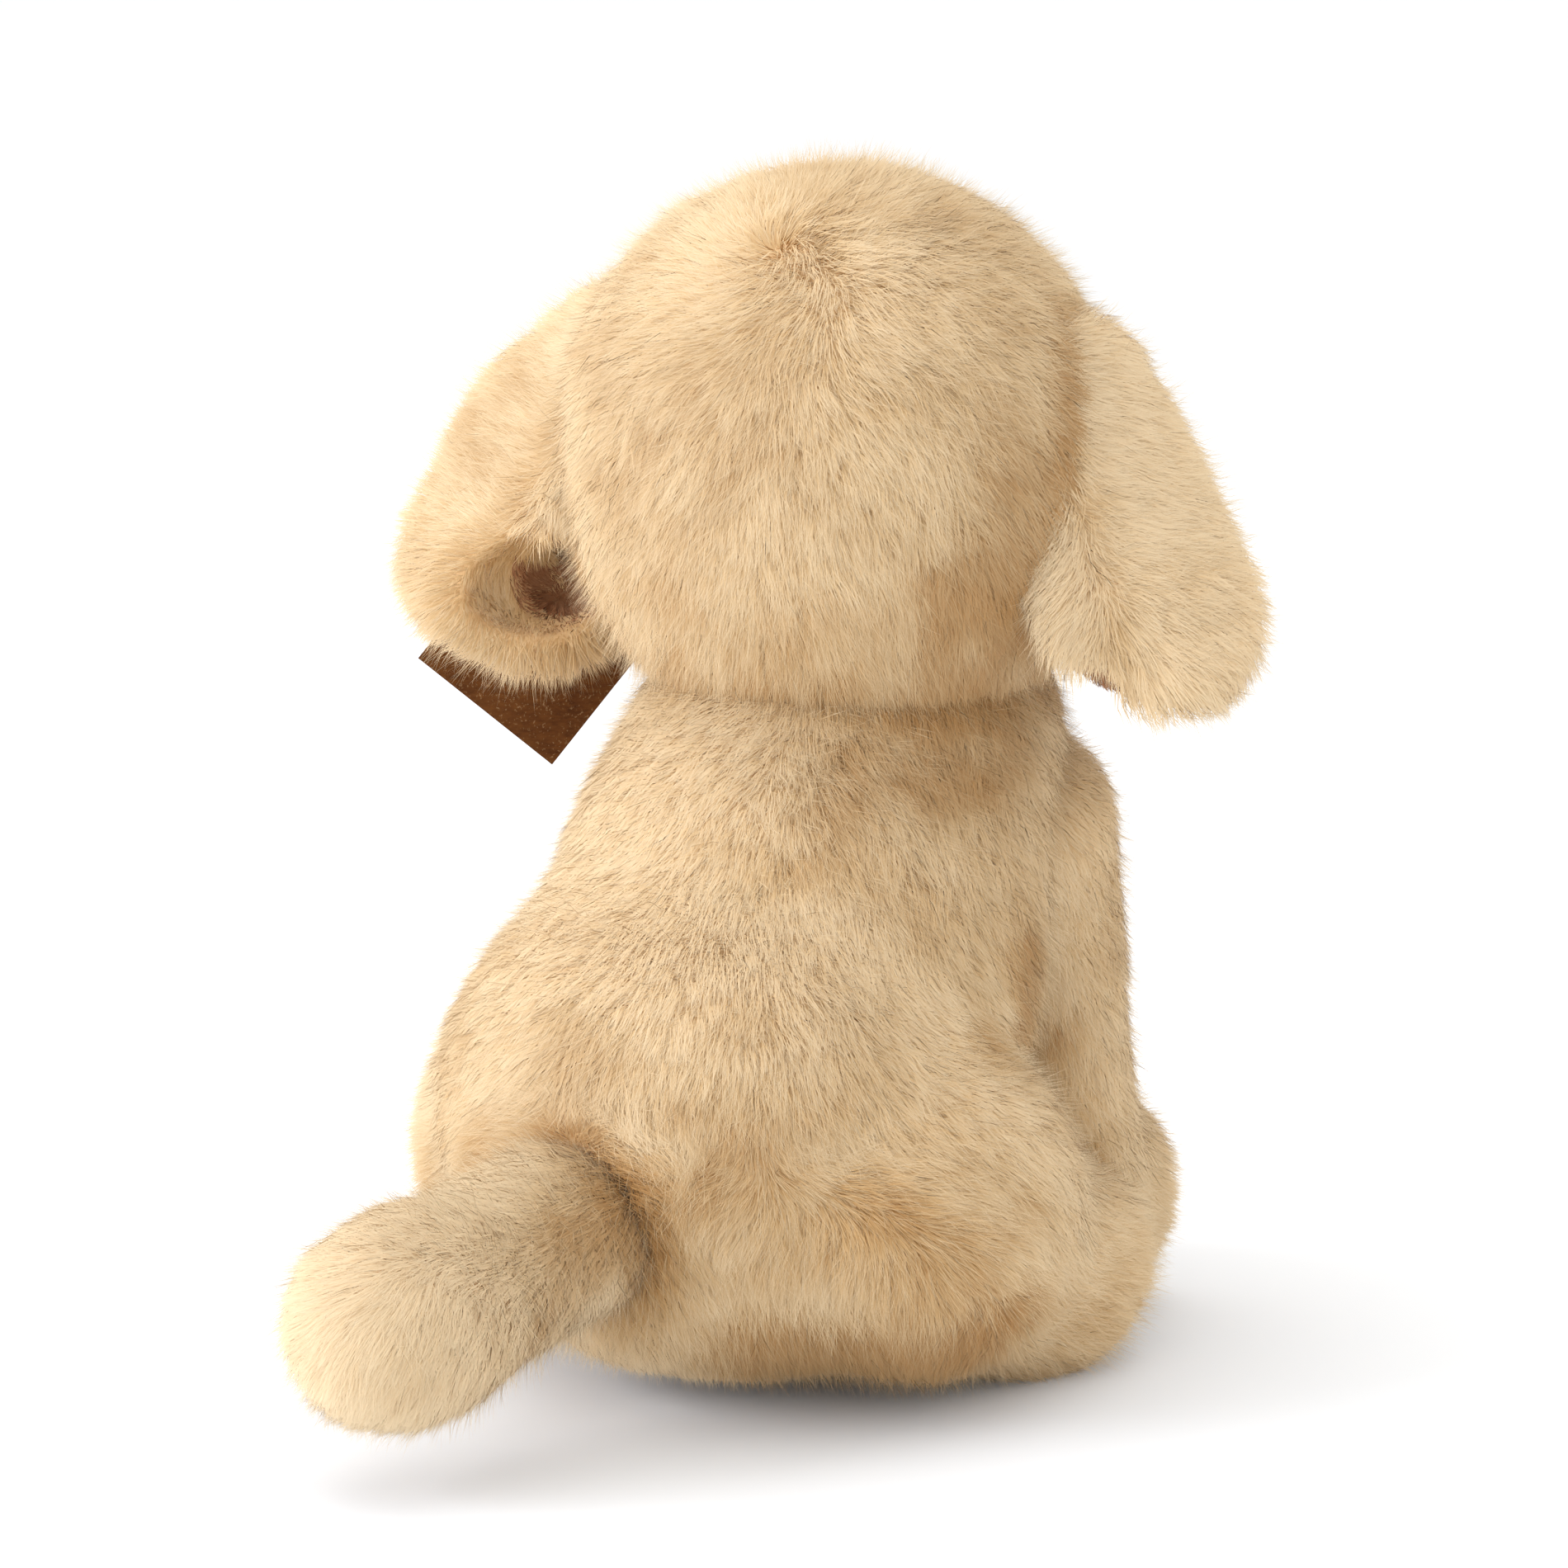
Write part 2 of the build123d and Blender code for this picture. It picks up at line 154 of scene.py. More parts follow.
# ------------------------------------------------------- surfaces from them
def surface(f, lo, hi, h, level=0.0):
    """closed quad mesh of f = level by surface nets; f at grid points"""
    lo, hi = np.array(lo, float), np.array(hi, float)
    n = np.ceil((hi - lo) / h).astype(int) + 1
    ax = [lo[i] + h * np.arange(n[i]) for i in range(3)]
    G = np.stack(np.meshgrid(*ax, indexing="ij"), -1)
    V = np.empty(tuple(n))
    for i in range(n[0]):
        V[i] = f(G[i].reshape(-1, 3)).reshape(n[1], n[2]) - level
    inside = V < 0
    c = np.zeros(tuple(n - 1), int)
    corners = [(a, b, d) for a in (0, 1) for b in (0, 1) for d in (0, 1)]
    for a, b, d in corners:
        c += inside[a:n[0] - 1 + a, b:n[1] - 1 + b, d:n[2] - 1 + d]
    cell = (c > 0) & (c < 8)
    idx = -np.ones(tuple(n - 1), int)
    cells = np.argwhere(cell)
    idx[cell] = np.arange(len(cells))
    acc, cnt = np.zeros((len(cells), 3)), np.zeros(len(cells))
    for a in range(8):
        for b in range(a + 1, 8):
            ca, cb = np.array(corners[a]), np.array(corners[b])
            if np.abs(ca - cb).sum() != 1:
                continue
            va = V[tuple((cells + ca).T)]
            vb = V[tuple((cells + cb).T)]
            m = (va < 0) != (vb < 0)
            t = np.where(m, va / np.where(m, va - vb, 1), 0)
            pt = ca + (cb - ca) * t[:, None]
            acc[m] += pt[m]
            cnt[m] += 1
    P = lo + h * (cells + acc / cnt[:, None])
    quads = []
    for k in range(3):
        u, v = [(1, 2), (2, 0), (0, 1)][k]
        s0 = [slice(None)] * 3
        s1 = [slice(None)] * 3
        s0[k] = slice(0, n[k] - 1)
        s1[k] = slice(1, n[k])
        A, B = inside[tuple(s0)], inside[tuple(s1)]
        e = np.argwhere(A != B)
        e = e[(e[:, u] > 0) & (e[:, v] > 0) & (e[:, u] < n[u] - 1) & (e[:, v] < n[v] - 1)]
        du, dv = np.zeros(3, int), np.zeros(3, int)
        du[u] = 1
        dv[v] = 1
        q = np.stack([idx[tuple((e - du - dv).T)], idx[tuple((e - dv).T)], idx[tuple(e.T)], idx[tuple((e - du).T)]], 1)
        flip = ~A[tuple(e.T)]
        q[flip] = q[flip][:, ::-1]
        quads.append(q)
    Q = np.concatenate(quads)
    for _ in range(3):
        g = grad(f, P)
        d = f(P) - level
        P = P - g * np.clip(d, -h, h)[:, None] * 0.9
    return P, Q


def grad(f, P, e=0.4):
    g = np.stack([f(P + np.eye(3)[k] * e) - f(P - np.eye(3)[k] * e) for k in range(3)], -1)
    return g / np.maximum(np.linalg.norm(g, axis=-1, keepdims=True), 1e-9)


def add_mesh(name, P, faces_flat, sizes, smooth_faces=True):
    """mesh from flat arrays, mm about the dog"""
    me = bpy.data.meshes.new(name)
    co = row(P).astype(np.float32)
    me.vertices.add(len(co))
    me.vertices.foreach_set("co", co.ravel())
    me.loops.add(len(faces_flat))
    me.loops.foreach_set("vertex_index", faces_flat.astype(np.int32))
    me.polygons.add(len(sizes))
    starts = np.zeros(len(sizes), np.int32)
    starts[1:] = np.cumsum(sizes)[:-1]
    me.polygons.foreach_set("loop_start", starts)
    me.polygons.foreach_set("loop_total", sizes.astype(np.int32))
    me.polygons.foreach_set("use_smooth", np.full(len(sizes), smooth_faces, bool))
    me.update(calc_edges=True)
    ob = bpy.data.objects.new(name, me)
    bpy.context.scene.collection.objects.link(ob)
    return ob


# ---------------------------------------------------------------- the shapes
# Outer (fur tip) surfaces; the backing cloth lies PILE below them.
PILE = 4.2


def mx(c, s):
    return (s * c[0], c[1], c[2])


torso_parts = [ell((0, -14, 124), (46, 43, 56)), ell((0, 4, 92), (51.5, 53, 58)), ell((0, 32, 59), (60, 58, 54)), ell((0, 22, 34), (58, 56, 31))]
for s in (1, -1):
    torso_parts.append(ell((s * 40.5, 24, 43), (34.5, 42, 37.5), rot("x", 28)))
    torso_parts.append(ell((s * 49, -12, 22), (18.5, 29, 24), rot("z", s * 6)))
torso_core = group(torso_parts[:4], 12)
limbs = [group(torso_parts[k:k + 2], 14) for k in (4, 6)]


def torso_f(p):
    return smin(torso_core(p), np.minimum(limbs[0](p), limbs[1](p)), 4.5)


leg_f = {}
for side, s in (("left", 1), ("right", -1)):
    leg_f[side] = group([cone((s * 25.5, -34, 110), (s * 25.5, -46, 40), 23.5, 22.0), ell((s * 25.5, -57.4, 26.0), (20.4, 28.4, 25.8))], 8)
tail_f = group([cone((0, 84, 42.5), (0, 142, 34.5), 19.5, 20.3), ell((0, 134, 35.3), (20.5, 24, 20.3))], 8)
head_l = group([ell((2.2, -12, 194.6), (58, 56.5, 55.6)), ell((0, -12, 176), (56, 54, 48)), ell((0, -57, 178), (31, 38, 25)),
                ell((0, -20, 172), (52, 44, 36))], 12)


def head_f(p):
    return head_l(to_head(p))


EAR = {
    "right": dict(root=(-50, -8.5, 205), tip=(-65.6, 0.5, 164.5), w=(-0.72, -0.69, 0), r1=17.0, r2=26.5, bump=1.0),
    "left": dict(root=(54.0, -8.2, 206), tip=(71.8, -3.0, 175.8), w=(0.80, -0.60, 0), r1=20.0, r2=28.0, bump=7.0),
}
for side, e in EAR.items():
    A, B = np.array(e["root"], float), np.array(e["tip"], float)
    a = B - A
    e["L"] = np.linalg.norm(a)
    a /= e["L"]
    w = np.array(e["w"], float)
    w -= a * (w @ a)
    w /= np.linalg.norm(w)
    c = np.cross(a, w)
    if c[1] < 0:
        c = -c
    e.update(a=a, b=w, c=c, A=A)


# three oblique axes: the lie of the left ear's rolled lower edge, and of the view
RIGHT = np.array([-0.809017, -0.587785, 0.0])
UP = np.array([0.102069, -0.140486, 0.984808])
BACK = np.array([-0.578855, 0.796726, 0.173648])
TARGET = np.array([2.0, 8.0, 122.0])
OBLIQUE = np.stack([RIGHT, UP, BACK], 1)


def oblique(u, v, s):
    return TARGET + RIGHT * u + UP * v + BACK * s


# the left ear's lower edge rolls up into a cup that shows its lining
ROLL = ell(oblique(-51.5, 39.3, -16.0), (21.0, 15.7, 15.0), OBLIQUE)
CUP = ell(oblique(-51.5, 40.5, 0.5), (13.0, 8.0, 13.0), OBLIQUE)
PIT = ell(oblique(-47.6, 43.0, -3.0), (6.5, 5.2, 14.5), OBLIQUE)


def ear_f(side):
    e = EAR[side]

    def f(p):
        q = to_head(p) - e["A"]
        x, y, z = q @ e["a"], q @ e["b"], q @ e["c"]
        # the ear cups a little towards the head and its rim curls forwards
        z = z + 0.0042 * y * y - 0.0022 * np.maximum(x - 20, 0) ** 2
        t = np.clip(x / e["L"], 0, 1)
        d = np.hypot(x - t * e["L"], y) - (e["r1"] + (e["r2"] - e["r1"]) * t ** 0.75 + e["bump"] * np.sin(np.pi * t) * (y > 0))
        h = 8.5
        d = np.hypot(np.maximum(d + h, 0), z) - h
        if side == "left":
            d = smax(smin(d, ROLL(p), 9.0), -np.minimum(CUP(p), PIT(p)), 3.0)
        else:
            # the outer edge hangs lower than the inner one, and the lining shows between
            notch = np.sqrt(((x - 60) / 11) ** 2 + ((y + 18) / 10) ** 2 + ((z - 10) / 7) ** 2)
            d = smax(d, (1 - notch) * 7, 3.0)
        return d
    return f


def ear_lined(side, p, n):
    """1 where the short lining shows, 0 on the long pile"""
    e = EAR[side]
    q = to_head(p) - e["A"]
    x, y = q @ e["a"], q @ e["b"]
    back = smooth(-0.25, -0.55, (n @ RT) @ e["c"])
    if side == "left":
        return np.maximum(back * (ROLL(p) > 2), smooth(1.5, -1.0, np.minimum(CUP(p) - 5.2, PIT(p) - 5.6)))
    zone = np.sqrt(((x - 61.5) / 8) ** 2 + ((y + 19) / 7) ** 2)
    return np.maximum(back, smooth(1.05, 0.85, zone))


ear_fs = {s: ear_f(s) for s in EAR}

# ------------------------------------------------------------------ materials


class Nodes:
    def __init__(self, name):
        self.mat = bpy.data.materials.new(name)
        self.mat.use_nodes = True
        self.t = self.mat.node_tree
        self.t.nodes.clear()
        self.out = self.t.nodes.new("ShaderNodeOutputMaterial")
        self.bsdf = self.t.nodes.new("ShaderNodeBsdfPrincipled")
        self.t.links.new(self.bsdf.outputs[0], self.out.inputs[0])

    def n(self, kind, **kw):
        node = self.t.nodes.new("ShaderNode" + kind)
        for k, v in kw.items():
            if hasattr(node, k) and k not in node.inputs:
                setattr(node, k, v)
            else:
                node.inputs[k].default_value = v
        return node

    def link(self, a, b):
        self.t.links.new(a, b)

    def ramp(self, fac, stops, interp="LINEAR"):
        r = self.t.nodes.new("ShaderNodeValToRGB")
        r.color_ramp.interpolation = interp
        el = r.color_ramp.elements
        while len(el) > 1:
            el.remove(el[-1])
        el[0].position, el[0].color = stops[0][0], (*stops[0][1], 1)
        for p, c in stops[1:]:
            e = el.new(p)
            e.color = (*c, 1)
        self.link(fac, r.inputs[0])
        return r.outputs[0]

    def mix(self, fac, a, b, mode="MIX"):
        m = self.t.nodes.new("ShaderNodeMix")
        m.data_type = "RGBA"
        m.blend_type = mode
        if isinstance(fac, (int, float)):
            m.inputs[0].default_value = fac
        else:
            self.link(fac, m.inputs[0])
        for sock, v in ((m.inputs[6], a), (m.inputs[7], b)):
            if isinstance(v, tuple):
                sock.default_value = (*v, 1)
            else:
                self.link(v, sock)
        return m.outputs[2]

    def math(self, op, a, b=None, c=None):
        m = self.t.nodes.new("ShaderNodeMath")
        m.operation = op
        for i, v in enumerate((a, b, c)):
            if v is None:
                continue
            if isinstance(v, (int, float)):
                m.inputs[i].default_value = v
            else:
                self.link(v, m.inputs[i])
        return m.outputs[0]


def srgb(r, g, b):
    f = lambda v: v / 255 / 12.92 if v <= 10 else ((v / 255 + 0.055) / 1.055) ** 2.4
    return (f(r), f(g), f(b))


def fur_material(name, root, mid, tip, warm, rough=0.62, sheen=0.25):
    """root-to-tip colours from the strand attribute, tone and warmth per strand"""
    m = Nodes(name)
    at = m.n("Attribute", attribute_name="fur")
    sep = m.n("SeparateColor")
    m.link(at.outputs["Color"], sep.inputs[0])
    along, tone, hue = sep.outputs[0], sep.outputs[1], sep.outputs[2]
    base = m.ramp(along, [(0.0, root), (0.45, mid), (1.0, tip)])
    base = m.mix(m.math("MULTIPLY", hue, 0.8), base, warm, "MULTIPLY")
    light = m.ramp(tone, [(0.0, (0.66, 0.55, 0.43)), (0.5, (0.92, 0.91, 0.90)), (1.0, (1.09, 1.12, 1.18))])
    base = m.mix(1.0, base, light, "MULTIPLY")
    m.link(base, m.bsdf.inputs["Base Color"])
    m.bsdf.inputs["Roughness"].default_value = rough
    m.bsdf.inputs["Sheen Weight"].default_value = sheen
    m.bsdf.inputs["Sheen Roughness"].default_value = 0.4
    m.bsdf.inputs["Sheen Tint"].default_value = (*srgb(255, 236, 205), 1)
    m.bsdf.inputs["Specular IOR Level"].default_value = 0.25
    # fine fibres let most of the light on to the ones below; the eye sees them whole
    path = m.n("LightPath")
    clear = m.n("BsdfTransparent")
    thru = m.n("MixShader", Fac=0.78)
    m.link(m.bsdf.outputs[0], thru.inputs[1])
    m.link(clear.outputs[0], thru.inputs[2])
    last = m.bsdf.outputs[0]
    for kind in ("Is Shadow Ray", "Is Diffuse Ray"):
        pick = m.n("MixShader")
        m.link(path.outputs[kind], pick.inputs[0])
        m.link(last, pick.inputs[1])
        m.link(thru.outputs[0], pick.inputs[2])
        last = pick.outputs[0]
    m.link(last, m.out.inputs[0])
    return m.mat


def cloth_material(name, dark, light, size=900.0, rough=0.85, bump=0.15):
    """short knitted backing: fine speckle and a soft mottling"""
    m = Nodes(name)
    co = m.n("TexCoord")
    big = m.n("TexNoise", Scale=size * 0.12, Detail=4.0, Roughness=0.6)
    fine = m.n("TexNoise", Scale=size, Detail=2.0, Roughness=0.7)
    for t in (big, fine):
        m.link(co.outputs["Object"], t.inputs["Vector"])
    k = m.math("ADD", m.math("MULTIPLY", big.outputs["Fac"], 0.55), m.math("MULTIPLY", fine.outputs["Fac"], 0.45))
    m.link(m.ramp(k, [(0.34, dark), (0.66, light)]), m.bsdf.inputs["Base Color"])
    bm = m.n("Bump", Strength=bump, Distance=0.0004)
    m.link(fine.outputs["Fac"], bm.inputs["Height"])
    m.link(bm.outputs[0], m.bsdf.inputs["Normal"])
    m.bsdf.inputs["Roughness"].default_value = rough
    m.bsdf.inputs["Sheen Weight"].default_value = 0.3
    return m.mat


FUR = fur_material("fur_golden", srgb(204, 158, 104), srgb(217, 181, 130), srgb(233, 211, 174), (0.86, 0.70, 0.47))
FUR_SHORT = fur_material("fur_lining", srgb(124, 76, 46), srgb(158, 108, 72), srgb(190, 142, 104), (0.92, 0.80, 0.68), 0.8, 0.25)
SKIN = cloth_material("fur_backing", srgb(212, 168, 114), srgb(226, 188, 136))
SKIN_SHORT = cloth_material("lining_backing", srgb(104, 68, 40), srgb(146, 104, 68), 1400.0)


def set_mat(ob, mat):
    ob.data.materials.clear()
    ob.data.materials.append(mat)


# ---------------------------------------------------------------- the strands
def cell_ids(p, size, seed):
    """nearest centre of a jittered grid, as an id per point"""
    q = p / size + 1000.0
    i0 = np.floor(q).astype(np.int64)
    best = np.full(len(p), 1e9)
    bid = np.zeros(len(p), np.int64)
    for dx in (-1, 0, 1):
        for dy in (-1, 0, 1):
            for dz in (-1, 0, 1):
                i, j, k = i0[:, 0] + dx, i0[:, 1] + dy, i0[:, 2] + dz
                h = (hash3(i, j, k, seed) * 0x1000000).astype(np.int64)
                c = np.stack([i + (h & 255) / 255.0, j + ((h >> 8) & 255) / 255.0, k + ((h >> 16) & 255) / 255.0], 1)
                d = ((q - c) ** 2).sum(1)
                m = d < best
                best[m] = d[m]
                bid[m] = (i[m] * 4099 + j[m]) * 4099 + k[m]
    return np.unique(bid, return_inverse=True)[1]


def by_group(g, v):
    n = np.bincount(g).astype(float)
    return np.stack([np.bincount(g, v[:, k]) / n for k in range(3)], 1)[g]


def unit(v):
    return v / np.maximum(np.linalg.norm(v, axis=-1, keepdims=True), 1e-9)


def scatter(P, Q, n, rng):
    T = np.concatenate([Q[:, [0, 1, 2]], Q[:, [0, 2, 3]]])
    a, b, c = P[T[:, 0]], P[T[:, 1]], P[T[:, 2]]
    area = 0.5 * np.linalg.norm(np.cross(b - a, c - a), axis=1)
    cum = np.cumsum(area)
    pick = np.searchsorted(cum, rng.random(n) * cum[-1])
    u, v = rng.random(n), rng.random(n)
    flip = u + v > 1
    u[flip], v[flip] = 1 - u[flip], 1 - v[flip]
    return a[pick] + (b - a)[pick] * u[:, None] + (c - a)[pick] * v[:, None], cum[-1]


SEED = [100]
THIN = 1.0
STATS = []


def fur(name, body, P, Q, f, level, flow, keep=None, density=3.4, length=9.5, lift=(46, 15), width=0.22,
        mat=None, tone=0.0, warmth=0.3, clump=(8.0, 0.20, 2.5, 0.40), short=None, splay=0.46, slot="fur", wave=1.0,
        simple=False, lay=None, root0=0.12):
    SEED[0] += 1
    seed = SEED[0]
    rng = np.random.default_rng(seed)
    area = 0.0
    _, area = scatter(P, Q, 1, rng)
    n = int(area * density * THIN)
    R, _ = scatter(P, Q, n, rng)
    R = R - grad(f, R) * (f(R) - level)[:, None]
    k = np.ones(len(R)) if keep is None else keep(R)
    ok = rng.random(len(R)) < k
    R = R[ok]
    N = grad(f, R, 1.0)
    T = flow(R, N)
    T = T - N * (T * N).sum(1)[:, None]
    T = unit(T)
    S = np.cross(T, N)
    n = len(R)
    # the combing wanders a little, widely and locally
    ang = 0.34 * noise(R, 26.0, seed) + 0.20 * noise(R, 9.0, seed + 1) + splay * rng.normal(size=n) * 0.7
    T = T * np.cos(ang)[:, None] + S * np.sin(ang)[:, None]
    S = np.cross(T, N)
    big, small = cell_ids(R, clump[0], seed + 2), cell_ids(R, clump[2], seed + 3)
    rb, rs = rng.random(big.max() + 1)[big], rng.random(small.max() + 1)[small]
    rs2 = rng.normal(size=small.max() + 1)[small]
    L = length * (0.86 + 0.28 * rng.random(n)) * (0.93 + 0.14 * rs) * (1 + 0.10 * noise(R, 18.0, seed + 4))
    if short is not None:
        L = L * short(R)
    lean = 1.0 if lay is None else lay(R)
    l0 = np.radians((lift[0] + 8 * (rs - 0.5)) * lean + 9 * rng.normal(size=n))
    l1 = np.radians((lift[1] + 14 * (rb - 0.5) + 14 * noise(R, 7.0, seed + 7)) * lean + 15 * rng.normal(size=n))
    d0 = T * np.cos(l0)[:, None] + N * np.sin(l0)[:, None]
    d1 = T * np.cos(l1)[:, None] + N * np.sin(l1)[:, None]
    M = R + d0 * (L * 0.48)[:, None] + S * (rs2 * 0.25 * wave * L / 11)[:, None]
    E = M + d1 * (L * 0.52)[:, None] + S * (rs2 * 0.75 * wave * L / 11)[:, None]
    for g, w in ((big, clump[1]), (small, clump[3])):
        mM, mE = by_group(g, M), by_group(g, E)
        M = M + (mM - M) * (w * 0.35)
        E = E + (mE - E) * w
    # no hair goes under the floor, and under the rump it stays off it
    rise = 0.15 if body == "torso" else 0.0
    M[:, 2] = np.maximum(M[:, 2], 0.35 + rise * np.clip(M[:, 1] - 22.0, 0, None))
    E[:, 2] = np.maximum(E[:, 2], 0.15 + rise * np.clip(E[:, 1] - 22.0, 0, None))
    D = unit(M - R)
    side = unit(np.cross(D, N))
    up = np.cross(side, D)
    roll = rng.normal(size=n) * 0.6
    W = side * np.cos(roll)[:, None] + up * np.sin(roll)[:, None]
    w = width * (0.7 + 0.6 * rng.random(n))
    k = 3 if simple else 5
    V = np.empty((n, k, 3))
    V[:, 0], V[:, 1] = R - W * (w * 0.5)[:, None], R + W * (w * 0.5)[:, None]
    if not simple:
        V[:, 2], V[:, 3] = M + W * (w * 0.42)[:, None], M - W * (w * 0.42)[:, None]
    V[:, -1] = E
    face = np.cross(W, D)
    face *= np.sign((face * N).sum(1))[:, None]
    nr = unit(N * 0.9 + face * 0.16)
    t1 = unit(E - M)
    nt = unit(nr - t1 * (nr * t1).sum(1)[:, None] * 0.35)
    VN = np.stack([nr] * (k - 1) + [nt], 1)
    tn = 0.5 + (tone if np.isscalar(tone) else tone(R)) + 0.15 * noise(R, 24.0, seed + 5) + 0.16 * (rs - 0.5) \
        + 0.08 * (rb - 0.5) + 0.06 * rng.normal(size=n) + 0.20 * noise(R, 8.0, 97) \
        + 0.22 * np.maximum(rng.normal(size=n) - 0.9, 0)
    wm = warmth if np.isscalar(warmth) else warmth(R)
    wm = wm + 0.12 * noise(R, 30.0, seed + 6) - 0.22 * noise(R, 8.0, 97) + 0.08 * rng.normal(size=n)
    tn, wm = np.clip(tn, 0, 1), np.clip(wm, 0, 1)
    qt, qw = np.minimum((tn * 12).astype(int), 11), np.minimum((wm * 6).astype(int), 5)
    tn, wm = (qt + 0.5) / 12, (qw + 0.5) / 6
    per = 190000 if simple else 66000
    obs = []
    parts = max(1, math.ceil(n / per))
    # pieces are cut along the body's height so that each stays a compact tuft field
    order = np.argsort(R[:, 2], kind="stable")
    for part in range(parts):
        sel = order[part * n // parts:(part + 1) * n // parts]
        m = len(sel)
        base = np.arange(m) * k
        corners = (0, 1, 2) if simple else (0, 1, 2, 3, 3, 2, 4)
        loops = np.empty((m, len(corners)), np.int64)
        for c, o in enumerate(corners):
            loops[:, c] = base + o
        sizes = np.tile(np.array([3] if simple else [4, 3]), m)
        ob = add_mesh(name if parts == 1 else f"{name}_{part + 1}", V[sel].reshape(-1, 3), loops.ravel(), sizes)
        me = ob.data
        col = np.ones((m, k, 4), np.float32)
        col[:, :, 0] = np.array([root0, root0, 1.0] if simple else [root0, root0, 0.5 + 0.3 * root0, 0.5 + 0.3 * root0, 1.0])
        col[:, :, 1] = tn[sel][:, None]
        col[:, :, 2] = wm[sel][:, None]
        at = me.attributes.new("fur", "FLOAT_COLOR", "POINT")
        at.data.foreach_set("color", col.ravel())
        # one column of the bake per tone and warmth, root to tip up the column
        uv = me.uv_layers.new(name="OFBake")
        u0 = (qt[sel] * 6 + qw[sel]) / 72.0
        du = 1 / 72.0
        U = np.empty((m, len(corners), 2), np.float32)
        lo_v, mid_v = 0.02 + 0.96 * root0, 0.5 + 0.28 * root0
        at_v = ((0.15, lo_v), (0.85, lo_v), (0.5, 0.98)) if simple else (
            (0.15, lo_v), (0.85, lo_v), (0.85, mid_v), (0.15, mid_v), (0.15, mid_v), (0.85, mid_v), (0.5, 0.98))
        for c, (uu, vv) in enumerate(at_v):
            U[:, c, 0] = u0 + du * uu
            U[:, c, 1] = vv
        uv.data.foreach_set("uv", U.ravel())
        cn = me.attributes.new("custom_normal", "FLOAT_VECTOR", "POINT")
        cn.data.foreach_set("vector", VN[sel].reshape(-1).astype(np.float32))
        set_mat(ob, mat or FUR)
        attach(ob, body)
        obs.append(ob)
    STATS.append((name, n, round(float(area))))
    return obs


# painted light and shade: patches painted paler where more light should fall and darker where shade should fall, such
# as under the head, round the right ear, along the bottom of the haunches and at the tail's root: centre, radius, tone,
# warmth
PAINTED_LIGHT_AND_SHADE_SPOTS = {
    "head": [((9, 42, 212), 30, -0.24, -0.12), ((-14, 44, 188), 22, -0.08, -0.15), ((-31, 17, 230), 18, 0.30, -0.1),
             ((-51, 12, 172), 14, -0.70, 0.35), ((-54, 7, 194), 12, -0.45, 0.25), ((-40, 6, 147), 15, -0.70, 0.15),
             ((5, 30, 234), 16, 0.45, -0.40)],
    "torso": [((-26, 32, 132), 13, -0.40, 0.10), ((-37, 16, 133), 14, -0.60, 0.10), ((-45, -5, 132), 14, -0.50, 0.10),
              ((5, 47, 126), 24, 0.60, -0.35), ((2, 62, 106), 20, 0.30, -0.40), ((-36, 64, 90), 20, 0.35, -0.15),
              ((-59, 42, 73), 17, 0.40, -0.10), ((8, 87, 75), 24, -0.20, -0.15), ((-37, 76, 71), 20, -0.25, 0.05),
              ((-34, 57, 13), 20, -0.75, 0.40), ((-50, 49, 13), 20, -0.60, 0.35), ((-62, 33, 13), 18, -0.65, 0.35),
              ((-50, -4, 77), 9, -0.40, 0.30), ((57, 58, 57), 18, -0.05, -0.40)],
    "tail": [((-20, 104, 43), 14, -0.45, 0.25), ((-18, 93, 50), 13, -0.60, 0.35), ((-14, 110, 31), 13, -0.50, 0.25), ((2, 116, 58), 14, 0.60, -0.20),
             ((-10, 141, 55), 14, 0.50, -0.20)],
    "ear_right": [((-54, -21, 210), 14, 0.70, -0.10), ((-58, -18, 193), 15, 0.80, -0.10), ((-59, -15, 176), 14, 0.50, -0.10)],
    "ear_left": [((68, 18, 196), 20, -0.25, 0.0)],
    "foreleg_right": [((-49, -31, 113), 13, 0.60, -0.10), ((-46, -35, 54), 13, 0.50, -0.10)],
}


# adds the painted light and shade patches to a tone or a warmth
def with_painted_light_and_shade(value, body, k):
    def at(p):
        v = value(p) if callable(value) else np.full(len(p), float(value))
        for spot in PAINTED_LIGHT_AND_SHADE_SPOTS.get(body, ()):
            d = np.linalg.norm(p - np.array(spot[0], float), axis=1) / spot[1] + 0.18 * noise(p, 7.0, 87)
            v = v + spot[k] * smooth(1.35, 0.35, d)
        return v
    return at


def coat(name, body, P, Q, f, flow, keep=None, short=None, warmth=0.3, lay=None, tone=0.0, **kw):
    """the long pile, the dense short pile under it and the pale ends that stand out of it"""
    tone, warmth = with_painted_light_and_shade(tone, body, 2), with_painted_light_and_shade(warmth, body, 3)
    fur(name, body, P, Q, f, 0.0, flow, keep, short=short, warmth=warmth, tone=tone, lay=lay, **kw)
    ln, lf = kw.get("length", 9.5), kw.get("lift", (46, 15))
    r0 = kw.get("root0", 0.0)
    fur(name + "_under", body, P, Q, f, 0.0, flow, keep, short=short, warmth=warmth, lay=lay, tone=tone, root0=max(r0, 0.28),
        density=3.5, length=ln * 0.58, lift=(lf[0] - 2, lf[1] + 20), width=0.36, clump=(6.0, 0.1, 1.8, 0.15), simple=True)
    fur(name + "_top", body, P, Q, f, 0.0, flow, keep, short=short, warmth=0.0, lay=lay, tone=lambda p: 0.34 + (lambda t: np.where(t < 0, 1.1, 0.6) * t)(tone(p)), density=1.3,
        length=ln * 1.2, lift=(lf[0] + 8, lf[1] + 18), width=0.15, clump=(6.0, 0.1, 1.8, 0.1), splay=0.75, simple=True, root0=max(r0, 0.3))


